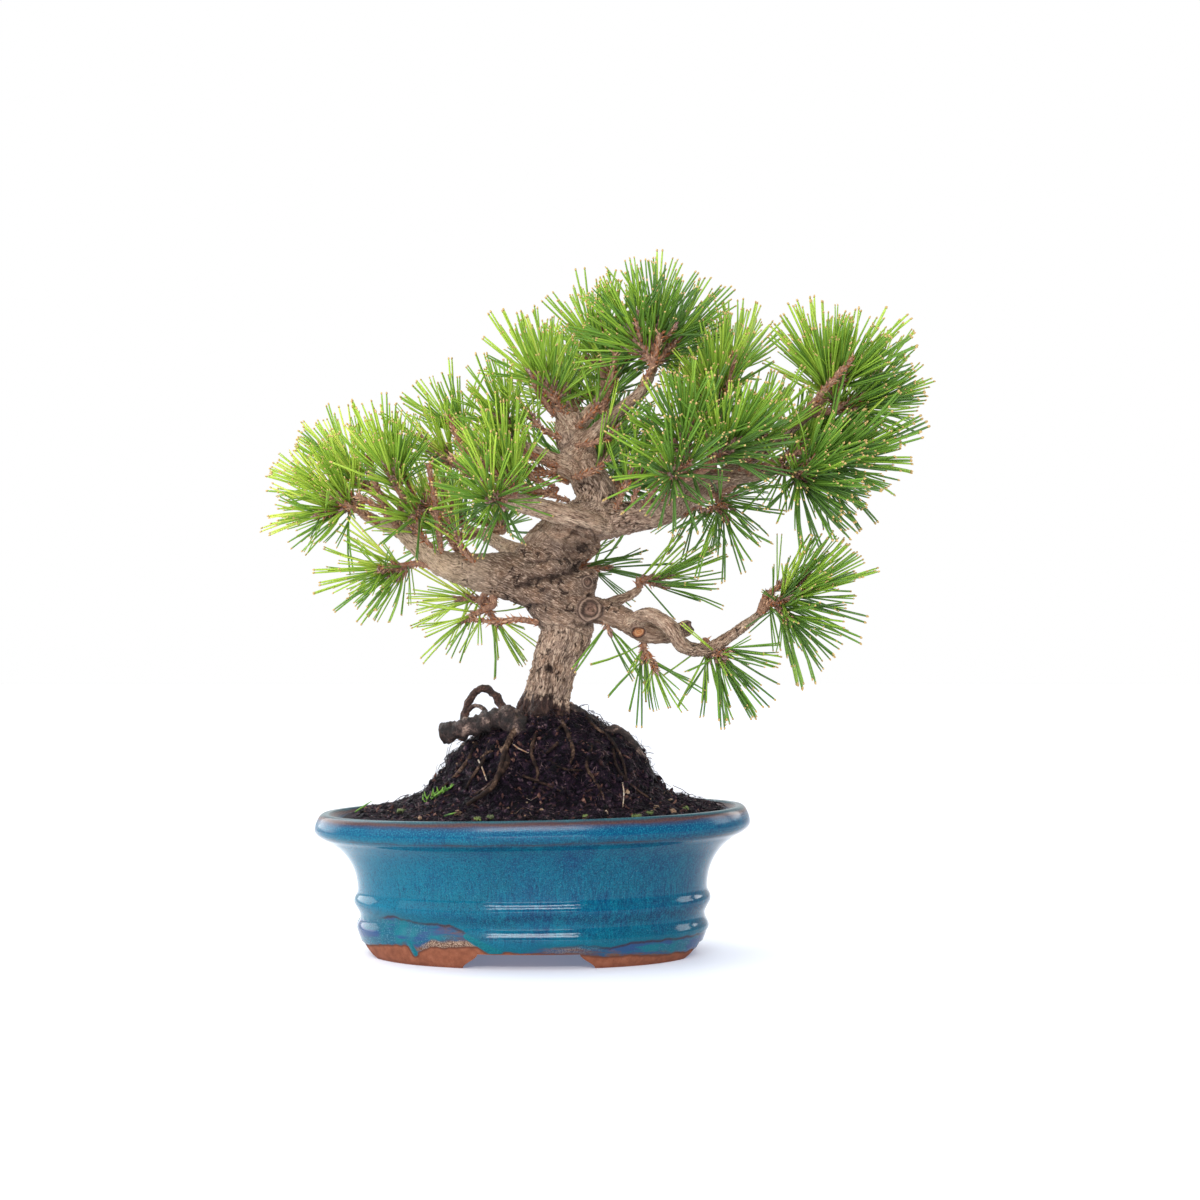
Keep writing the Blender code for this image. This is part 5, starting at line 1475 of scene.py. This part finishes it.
def makeNeedles():
    tree = growthTree()
    sets = {}
    for part in ("needle", "tip", "sheath", "bract"):
        sets[part] = bpy.data.collections.new(part)
        for variant in range(len(needle["bends"])):
            sets[part].objects.link(partShape(variant, part))
    common = {
        "Wood": woodPiece, "Lean at Foot": needle["leans"][0], "Lean at Bud": needle["leans"][1],
        "Scatter": needle["scatter"], "Shorter": needle["shorter"], "Offset": needle["offset"] * mm,
        "Stray": needle["stray"], "Sunny": needle["sunny"], "Sunward": needle["sunward"],
        "Low Corner": tuple(cadLow), "High Corner": tuple(cadHigh), "Seed": seed,
    }
    source = sourceObject([(line, reach * mm, *rest) for line, reach, *rest in shoots])
    parts = [(name, "needle", *row) for name, row in needle["tones"].items()] + list(needle["parts"])
    made = []
    for name, part, low, high, colour in parts:
        material = plainMaterial(name, colour, 0.4 if part == "needle" else 0.6)
        made.append((grow(name, tree, source, {
            **common, "Shapes": sets[part], "Material": material, "Tone From": low, "Tone To": high}), material))
    remove(source)
    rows = []
    for number, line in enumerate(twigLines):
        points = [place for place, _ in curveThrough(line, 4.0)]
        length = sum((b - a).length for a, b in zip(points, points[1:]))
        rows.append((points, bract["reach"] * mm, round(length / bract["spacing"]), 0.5, 0.0, 1.0))
    source = sourceObject(rows)
    common.update({
        "Lean at Foot": bract["lean"], "Lean at Bud": bract["lean"], "Scatter": 18.0, "Shorter": 0.5,
        "Offset": bract["offset"] * mm, "Stray": 0.5, "Sunny": 0.0, "Shapes": sets["bract"]})
    for name, (low, high, colour) in bract["tones"].items():
        material = plainMaterial(name, colour, 0.75)
        made.append((grow(name, tree, source, {**common, "Material": material, "Tone From": low, "Tone To": high}), material))
    remove(source)
    for group in sets.values():
        remove(*group.objects)
        bpy.data.collections.remove(group)
    return made


needlePieces = makeNeedles()
for number, (piece, material) in enumerate(needlePieces):
    wear(piece, material, "bark" if "bract" in piece.name else "needles", *(masses if number == 2 else ()))
    print(piece.name, len(piece.data.polygons), "faces")


# soil, heaped up to the trunk
soil = {
    "sides": 330,
    "step": 1.0,
    # height, half width, half depth, middle
    "rows": (
        (66.0, 104.5, 76.0, 0.0), (74.0, 108.0, 78.5, 0.0), (77.5, 105.0, 76.5, 0.5), (79.5, 98.0, 72.0, 1.0),
        (83.5, 80.0, 60.0, 4.0), (91.0, 64.0, 52.0, 6.0), (101.0, 57.0, 46.0, 7.0), (112.0, 50.0, 40.0, 8.0),
        (122.0, 36.0, 31.0, 8.0), (128.0, 26.0, 25.0, 9.0), (130.7, 20.0, 20.0, 9.0), (131.5, 8.0, 8.0, 9.0)),
    # the solids' clods: how far they stand out, their spacing, and the heights where they fade in and out
    "clods": (2.6, 26.0, (82.0, 92.0, 118.0, 127.0)),
    "rough": ((7.5, 1.5), (2.4, 0.8)),
}


def clods(p):
    height, spacing, (start, full, fade, end) = soil["clods"]
    share = max(0.0, min((p.z - start) / (full - start), (end - p.z) / (end - fade), 1.0))
    turn = math.tau / spacing
    return height * share * math.sin(turn * (p.x + p.z / 3)) * math.cos(turn * (p.y - p.z))


def makeSoil():
    rows = curveThrough([(half, depth, height, middle) for height, half, depth, middle in soil["rows"]], soil["step"])
    rings = []
    for place, middle in rows:
        ring = oval(place.z, place.x, place.y, soil["sides"], middle)
        rings.append([p + Vector((p.x - middle, p.y, 0)).normalized() * clods(p) for p in ring])
    obj = makeObject("soil_heap", *loft(rings))
    moved, bare = [], []
    for vertex in obj.data.vertices:
        p = (vertex.co - potMiddle) / mm
        calm = smoothstep(74.0, 80.0, p.z)
        height = sum(out * noise.fractal(p / size, 0.8, 2.0, 3) for size, out in soil["rough"])
        moved.append(vertex.co + vertex.normal * height * calm * mm)
        bare.append(smoothstep(76.5, 78.5, p.z))
    for vertex, place in zip(obj.data.vertices, moved):
        vertex.co = place
    obj.data.update()
    obj.data.shade_smooth()
    setAttribute(obj, "bare", bare)
    return obj


def earthMaterial(name, scale, stops, roughness=0.8, bump=0.0012):
    material, tree, shader = newMaterial(name)
    place = objectPlace(tree)
    patches = noiseOf(tree, place, scale, 5, 0.7)
    grit = noiseOf(tree, place, scale * 4, 4, 0.7)
    colour = mixColour(tree, mapped(tree, grit, 0.5, 0.35, 0.0, 0.6), ramp(tree, patches, stops), stops[0][1])
    tree.links.new(colour, shader.inputs["Base Color"])
    tree.links.new(mapped(tree, patches, 0.3, 0.7, roughness - 0.2, roughness + 0.1), shader.inputs["Roughness"])
    shader.inputs["Specular IOR Level"].default_value = 0.13
    height = addNode(tree, "ShaderNodeMath", {0: patches, 1: grit}, operation="ADD").outputs[0]
    tree.links.new(bumpOf(tree, height, bump, 1.0), shader.inputs["Normal"])
    return material


soilPiece = makeSoil()
wear(soilPiece, earthMaterial("soil", 230, (
    (0.32, (0.001, 0.001, 0.001)), (0.48, (0.003, 0.001, 0.005)), (0.58, (0.020, 0.009, 0.021)), (0.68, (0.075, 0.040, 0.046)))),
    "soil", "soil")
print("soil", len(soilPiece.data.polygons), "faces")

# what lies on the soil: shape, how many for a square decimetre, sizes, noise scale, colours
litter = {
    "soil_crumbs": ("lump", 1150.0, (1.0, 4.6), 170, (
        (0.42, (0.001, 0.001, 0.002)), (0.54, (0.006, 0.003, 0.010)), (0.60, (0.056, 0.031, 0.048)), (0.69, (0.22, 0.14, 0.145)))),
    "soil_bark_bits": ("flake", 400.0, (2.0, 6.5), 110, (
        (0.40, (0.010, 0.005, 0.007)), (0.50, (0.045, 0.019, 0.018)), (0.59, (0.14, 0.064, 0.050)), (0.69, (0.36, 0.21, 0.155)))),
    "soil_grit": ("lump", 9.0, (1.6, 5.4), 200, (
        (0.35, (0.16, 0.085, 0.05)), (0.5, (0.34, 0.22, 0.14)), (0.62, (0.50, 0.38, 0.27)), (0.75, (0.27, 0.20, 0.12)))),
    "rootlets_dark": ("rootlet", 820.0, (8.0, 22.0), 150, (
        (0.40, (0.002, 0.001, 0.002)), (0.51, (0.009, 0.005, 0.012)), (0.58, (0.055, 0.032, 0.046)), (0.67, (0.26, 0.17, 0.165)))),
    "rootlets_pale": ("rootlet", 9.0, (6.0, 14.0), 120, (
        (0.35, (0.22, 0.07, 0.03)), (0.5, (0.36, 0.2, 0.12)), (0.62, (0.55, 0.45, 0.37)), (0.75, (0.72, 0.67, 0.6)))),
}
litterShapes = {
    "variants": 6,
    "rough": 0.35,
    "flake": (1.0, 0.42, 0.2),
    "rootletRadius": 0.0115,
    "rootletSteps": 7,
    "rootletSway": 0.16,
}


def litterShape(kind, variant):
    draw = random.Random(f"{seed} {kind} {variant}")
    mesh = bpy.data.meshes.new(kind)
    if kind == "rootlet":
        phase, swing = draw.uniform(0, 6), draw.uniform(0.6, 1.3) * litterShapes["rootletSway"]
        line = []
        for i in range(litterShapes["rootletSteps"]):
            t = i / (litterShapes["rootletSteps"] - 1) - 0.5
            rise = 0.06 + 0.05 * math.sin(t * 9 + phase * 2) - 0.6 * swing * (2 * t) ** 2
            line.append((Vector((t, swing * math.sin(t * 7 + phase), rise)),
                         litterShapes["rootletRadius"] * (1.1 - abs(t + 0.2))))
        points, faces = loft(tubeRings(line, 3))
        mesh.from_pydata([tuple(p) for p in points], [], faces)
    else:
        shape = bmesh.new()
        bmesh.ops.create_icosphere(shape, subdivisions=1, radius=0.5)
        stretch = Vector(litterShapes["flake"]) if kind == "flake" else Vector([draw.uniform(0.7, 1.0) for _ in range(3)])
        for vertex in shape.verts:
            stray = 1 + litterShapes["rough"] * noise.noise(vertex.co * 3 + Vector((variant * 5.0, 0, 0))) * 1.6
            vertex.co = Vector(a * b for a, b in zip(vertex.co * stray, stretch))
        shape.to_mesh(mesh)
        shape.free()
    mesh.shade_smooth()
    return bpy.data.objects.new(f"{kind}{variant}", mesh)


def scatterTree():
    tree = bpy.data.node_groups.new("litter", "GeometryNodeTree")
    for name, kind in {
            "Geometry": "NodeSocketGeometry", "Shapes": "NodeSocketCollection", "Material": "NodeSocketMaterial",
            "Density": "NodeSocketFloat", "Smallest": "NodeSocketFloat", "Largest": "NodeSocketFloat",
            "Tilt": "NodeSocketFloat", "Seed": "NodeSocketInt"}.items():
        tree.interface.new_socket(name, in_out="INPUT", socket_type=kind)
    tree.interface.new_socket("Geometry", in_out="OUTPUT", socket_type="NodeSocketGeometry")
    given = addNode(tree, "NodeGroupInput").outputs

    def chance(low, high, number):
        picked = addNode(tree, "ShaderNodeMath", {0: given["Seed"], 1: number}, operation="ADD").outputs[0]
        return addNode(tree, "FunctionNodeRandomValue", {"Min": low, "Max": high, "Seed": picked},
                       data_type="FLOAT").outputs[1]

    bare = addNode(tree, "GeometryNodeInputNamedAttribute", {"Name": "bare"}, data_type="FLOAT").outputs["Attribute"]
    density = addNode(tree, "ShaderNodeMath", {0: bare, 1: given["Density"]}, operation="MULTIPLY").outputs[0]
    spread = addNode(tree, "GeometryNodeDistributePointsOnFaces", {
        "Mesh": given["Geometry"], "Density": density, "Seed": given["Seed"]}).outputs
    shapes = addNode(tree, "GeometryNodeCollectionInfo", {
        "Collection": given["Shapes"], "Separate Children": True, "Reset Children": True}).outputs[0]
    pick = addNode(tree, "FunctionNodeRandomValue", {
        "Min": 0, "Max": litterShapes["variants"] - 1, "Seed": given["Seed"]}, data_type="INT").outputs[2]
    tilt = addNode(tree, "ShaderNodeCombineXYZ", {
        0: chance(-1.0, 1.0, 1), 1: chance(-1.0, 1.0, 2), 2: chance(0.0, 400.0, 3)}).outputs[0]
    tilt = addNode(tree, "ShaderNodeVectorMath", {0: tilt, 1: (1, 1, 1)}, operation="MULTIPLY").outputs[0]
    scaled = addNode(tree, "ShaderNodeVectorMath", {0: tilt}, operation="SCALE")
    tree.links.new(given["Tilt"], scaled.inputs["Scale"])
    turned = addNode(tree, "FunctionNodeRotateRotation", {
        "Rotation": spread["Rotation"], "Rotate By": scaled.outputs[0]}, rotation_space="LOCAL").outputs[0]
    size = chance(0.0, 1.0, 5)
    size = addNode(tree, "ShaderNodeMath", {0: size, 1: 2.0}, operation="POWER").outputs[0]
    size = addNode(tree, "ShaderNodeMapRange", {
        "Value": size, "To Min": given["Smallest"], "To Max": given["Largest"]}).outputs[0]
    made = addNode(tree, "GeometryNodeInstanceOnPoints", {
        "Points": spread["Points"], "Instance": shapes, "Pick Instance": True, "Instance Index": pick,
        "Rotation": turned, "Scale": size}).outputs[0]
    made = addNode(tree, "GeometryNodeRealizeInstances", {"Geometry": made}).outputs[0]
    made = addNode(tree, "GeometryNodeSetMaterial", {"Geometry": made, "Material": given["Material"]}).outputs[0]
    tree.links.new(made, addNode(tree, "NodeGroupOutput").inputs[0])
    return tree


def makeLitter():
    tree = scatterTree()
    for number, (name, (kind, density, (small, large), scale, stops)) in enumerate(litter.items()):
        group = bpy.data.collections.new(name)
        for variant in range(litterShapes["variants"]):
            group.objects.link(litterShape(kind, variant))
        material = earthMaterial(name, scale, stops, 0.55)
        piece = grow(name, tree, soilPiece, {
            "Shapes": group, "Material": material, "Density": density * 100, "Smallest": small * mm,
            "Largest": large * mm, "Tilt": 0.12 if kind == "rootlet" else 1.0, "Seed": seed + number})
        remove(*group.objects)
        bpy.data.collections.remove(group)
        wear(piece, material, "roots" if kind == "rootlet" else "soil")
        print(name, len(piece.data.polygons), "faces")


makeLitter()


# roots on the heap
roots = {
    "root_stub": (
        (-50, -15, 121.5, 4.9), (-35, -18, 125, 5.2), (-22, -19, 129.5, 5.4), (-12, -18, 131, 5.6),
        (-4, -17, 126, 5.0)),
    "root_arch": (
        (-40, 5, 117, 2.1), (-37.5, 7, 136, 2.1), (-30, 9, 146, 2.1), (-22, 9, 143, 2.2),
        (-16, 6, 133, 2.6), (-12, 4, 124, 2.8)),
    "root_right": (
        (27, -9, 127, 3.0), (38, -10, 122, 2.6), (47, -10, 123.5, 2.4), (57, -9, 114, 2.4),
        (66, -8, 97, 2.2)),
}
frontRoot = ((-9, -27, 124, 1.9), (-13, -36, 116, 1.6), (-16.5, -46, 102, 1.5), (-21, -52, 94, 1.4), (-33, -60, 86, 1.1))
# the knuckle below the stub, a dark root over the heap's right edge, and a side twig of the arch
moreRoots = (
    ((-14, -19, 130.5, 5.6), (-8, -22, 126, 6.0), (-5.5, -24, 119, 5.4), (-5, -25, 111, 3.6), (-6, -27, 105, 2.0)),
    ((20, -6, 137, 2.2), (29.7, -5, 131.5, 2.2), (38, -4, 125, 2.0), (50, -4, 117, 1.8), (57, -5, 105, 1.5)),
    ((-37.5, 7, 133.5, 1.3), (-33, 3, 136.6, 1.2), (-29, 0, 136, 1.2), (-26, -2, 133.5, 1.1)),
)
# thin roots along the heap, dark then pale: x, height, radius, how far they stand off the soil
thinRoots = (
    ((-16, 114, 1.3, 1.0), (-12, 109, 1.4, 1.6), (-16, 101, 1.3, 0.9), (-22, 95, 1.1, 0.4), (-30, 90, 0.7, 0.0)),
    ((17, 128, 0.9, 1.6), (19, 121, 1.0, 2.2), (22, 113, 1.0, 1.4), (21, 106, 0.7, 0.3)),
    ((15, 117, 0.9, 1.6), (10, 113, 0.9, 2.0), (7, 112, 0.6, 0.6)),
    ((30, 130, 0.8, 1.0), (35, 124, 0.8, 2.0), (42, 119, 0.8, 1.4), (49, 108, 0.7, 1.2), (52, 97, 0.5, 0.4)),
    ((-30, 117, 1.0, 0.4), (-34, 108, 1.0, 1.2), (-41, 99, 0.9, 0.8), (-52, 90, 0.7, 0.0)),
    ((-22, 121, 0.8, 0.8), (-24, 110, 0.9, 1.4), (-31, 100, 0.8, 0.8), (-36, 91, 0.6, 0.0)),
    ((2, 122, 0.9, 0.8), (0, 112, 0.9, 1.4), (4, 101, 0.8, 1.0), (1, 91, 0.6, 0.0)),
    ((33, 116, 0.8, 0.8), (30, 106, 0.9, 1.2), (36, 96, 0.7, 0.6), (40, 88, 0.5, 0.0)),
    ((44, 114, 0.8, 0.8), (46, 104, 0.8, 1.2), (54, 95, 0.7, 0.5), (64, 88, 0.5, 0.0)),
    ((-4, 100, 0.7, 0.8), (8, 97, 0.7, 1.2), (18, 92, 0.6, 0.4)),
    ((10, 108, 0.6, 0.6), (18, 104, 0.6, 1.2), (28, 103, 0.5, 0.2)),
    ((-27, 109.3, 0.6, 0.9), (-22.7, 112, 0.6, 1.4), (-20, 112.6, 0.4, 0.6)),
    ((13.9, 123.3, 0.7, 1.2), (17, 125.6, 0.7, 1.6), (19, 126.8, 0.5, 0.8)),
)
paleRoots = (
    ((-10.4, 117.4, 0.35, 1.5), (-6.6, 114.7, 0.35, 2.2), (-2.3, 112.6, 0.3, 1.4), (0.9, 111.5, 0.25, 0.8)),
    ((-28.6, 107.7, 0.45, 1.0), (-26.5, 102.9, 0.4, 1.8), (-23.3, 97.0, 0.35, 0.8)),
    ((49.4, 95.9, 0.4, 1.0), (49.9, 90.0, 0.35, 1.6), (49.4, 84.1, 0.3, 0.6)),
)


def onSoil(x, z, off):
    start = toWorld((x, -200.0, z))
    hit, place, normal, _ = soilPiece.ray_cast(Vector(start), Vector((0, 1, 0)))
    place = (place - potMiddle) / mm if hit else Vector((x, -20.0, z))
    return place + normal * off if hit else place


def rootMesh(name, lines, sides, rough, size):
    points, faces = [], []
    for line in lines:

        def bumps(place, out, turn):
            around = place + out * 2.5
            knots = noise.fractal(around / size, 0.8, 2.0, 3)
            return 1.06 + rough * knots + 0.1 * noise.noise(around / 0.9)

        got, made = loft(tubeRings(line, sides, bumps))
        faces += [tuple(i + len(points) for i in face) for face in made]
        points += got
    return makeObject(name, points, faces)


def makeRoots():
    lines = [curveThrough(rows, 0.8) for rows in (*roots.values(), *moreRoots)]
    obj = rootMesh("surface_roots", lines, 28, 0.34, 3.8)
    arch = [Vector(row[:3]) for row in roots["root_arch"]]
    red, cutEnd = [], []
    for vertex in obj.data.vertices:
        p = (vertex.co - potMiddle) / mm
        red.append(max(0.0, 1 - min((p - a).length for a in arch) / 9))
        cutEnd.append((p - Vector(roots["root_stub"][0][:3])).dot(Vector((-0.99, 0.1, -0.15))))
    setAttribute(obj, "red", red)
    setAttribute(obj, "end", cutEnd)
    return obj


def rootMaterial():
    material, tree, shader = newMaterial("root")
    place = objectPlace(tree)
    patches = noiseOf(tree, place, 150, 4, 0.7)
    grain = noiseOf(tree, place, 900, 4, 0.75)
    colour = ramp(tree, patches, (
        (0.37, (0.005, 0.003, 0.003)), (0.49, (0.028, 0.015, 0.013)), (0.57, (0.090, 0.053, 0.044)), (0.66, (0.38, 0.26, 0.205))))
    ruddy = ramp(tree, patches, ((0.35, (0.016, 0.006, 0.005)), (0.5, (0.055, 0.021, 0.015)), (0.64, (0.15, 0.070, 0.048))))
    colour = mixColour(tree, mapped(tree, attributeOf(tree, "red"), 0.05, 0.4), colour, ruddy)
    colour = mixColour(tree, mapped(tree, grain, 0.52, 0.40, 0.0, 0.88), colour, (0.011, 0.006, 0.006))
    end = attributeOf(tree, "end")
    colour = mixColour(tree, mapped(tree, end, -0.9, -0.2), colour, (0.03, 0.014, 0.010))
    tree.links.new(colour, shader.inputs["Base Color"])
    tree.links.new(mapped(tree, grain, 0.3, 0.7, 0.85, 0.45), shader.inputs["Roughness"])
    relief = addNode(tree, "ShaderNodeMath", {0: patches, 1: grain}, operation="ADD").outputs[0]
    tree.links.new(bumpOf(tree, relief, 0.0012, 1.0), shader.inputs["Normal"])
    return material


rootPiece = makeRoots()
wear(rootPiece, rootMaterial(), "roots", *roots)


def soilLines(table):
    return [curveThrough([(*onSoil(x, z, off), radius) for x, z, radius, off in rows], 1.0) for rows in table]


thinPiece = rootMesh("thin_roots", [curveThrough(frontRoot, 1.0), *soilLines(thinRoots)], 10, 0.3, 2.0)
palePiece = rootMesh("pale_roots", soilLines(paleRoots), 7, 0.2, 2.0)
wear(palePiece, earthMaterial("pale_root", 90, (
    (0.35, (0.26, 0.10, 0.04)), (0.47, (0.38, 0.27, 0.19)), (0.6, (0.52, 0.46, 0.39)), (0.75, (0.66, 0.61, 0.55)))), "roots")
wear(thinPiece, earthMaterial("thin_root", 150, (
    (0.35, (0.006, 0.004, 0.004)), (0.48, (0.024, 0.013, 0.010)), (0.58, (0.07, 0.040, 0.028)), (0.68, (0.20, 0.13, 0.09)))),
    "roots", "root_front")
print("roots", len(rootPiece.data.polygons), "faces, thin", len(thinPiece.data.polygons))


# green sprigs and moss on the soil: x, height, size, lean to the right
sprigs = ((-58.0, 84.5, 17.0, 1.3),)
blades = ((-97.0, 79.0, 12.0, 1.2), (-45.0, 80.0, 7.0, 2.5))
moss = ((-70, 80.5, 3.4), (-27, 79, 3.0), (-20, 80, 2.2), (57, 80, 4.0), (64, 81, 2.6), (84, 82, 2.0), (30, 80, 2.0))


def makeSprigs():
    points, faces, fresh = [], [], []
    draw = random.Random(seed)
    for x, z, size, lean in sprigs:
        foot = onSoil(x, z, 0.0)
        axis = Vector((lean, -0.25, 0.75)).normalized()
        for i in range(20):
            t = i / 19
            start = foot + axis * size * t
            turn = goldenTurn * i
            out = Vector((math.cos(turn), math.sin(turn), 0.9)).normalized()
            reach = size * draw.uniform(0.28, 0.42) * (1.15 - 0.6 * t)
            line = [(start, 0.3), (start + out * reach * 0.5, 0.5), (start + (out + axis * 0.3) * reach, 0.1)]
            got, made = loft(tubeRings(line, 5))
            faces += [tuple(n + len(points) for n in face) for face in made]
            points += got
    for x, z, size, lean in blades:
        foot = onSoil(x, z, 0.0)
        along = Vector((lean, -0.3, 0.8)).normalized() * size
        got, made = loft(tubeRings([(foot, 0.45), (foot + along * 0.5, 0.6), (foot + along, 0.12)], 6))
        faces += [tuple(n + len(points) for n in face) for face in made]
        points += got
    fresh += [1.0] * len(points)
    for x, z, size in moss:
        middle = onSoil(x, z, 0.2)
        for i in range(26):
            out = direction(draw.uniform(0, 360), draw.uniform(20, 90))
            start = middle + Vector((draw.uniform(-1, 1), draw.uniform(-1, 1), 0)) * size * 0.6
            line = [(start - out, 0.45), (start + out * 0.6, 0.5), (start + out * draw.uniform(1.0, 1.8), 0.12)]
            got, made = loft(tubeRings(line, 5))
            faces += [tuple(n + len(points) for n in face) for face in made]
            points += got
    obj = makeObject("sprigs_and_moss", points, faces)
    setAttribute(obj, "fresh", fresh + [0.0] * (len(points) - len(fresh)))
    return obj


def greenMaterial():
    material, tree, shader = newMaterial("green")
    patches = noiseOf(tree, objectPlace(tree), 60, 3, 0.6)
    mossy = ramp(tree, patches, (
        (0.35, (0.04, 0.06, 0.02)), (0.48, (0.09, 0.13, 0.03)), (0.58, (0.15, 0.20, 0.045)), (0.7, (0.26, 0.22, 0.10))))
    fresh = ramp(tree, patches, ((0.4, (0.06, 0.17, 0.02)), (0.6, (0.18, 0.38, 0.04))))
    tree.links.new(mixColour(tree, attributeOf(tree, "fresh"), mossy, fresh), shader.inputs["Base Color"])
    shader.inputs["Roughness"].default_value = 0.6
    return material


sprigPiece = makeSprigs()
wear(sprigPiece, greenMaterial(), "needles")
print("sprigs and moss", len(sprigPiece.data.polygons), "faces")
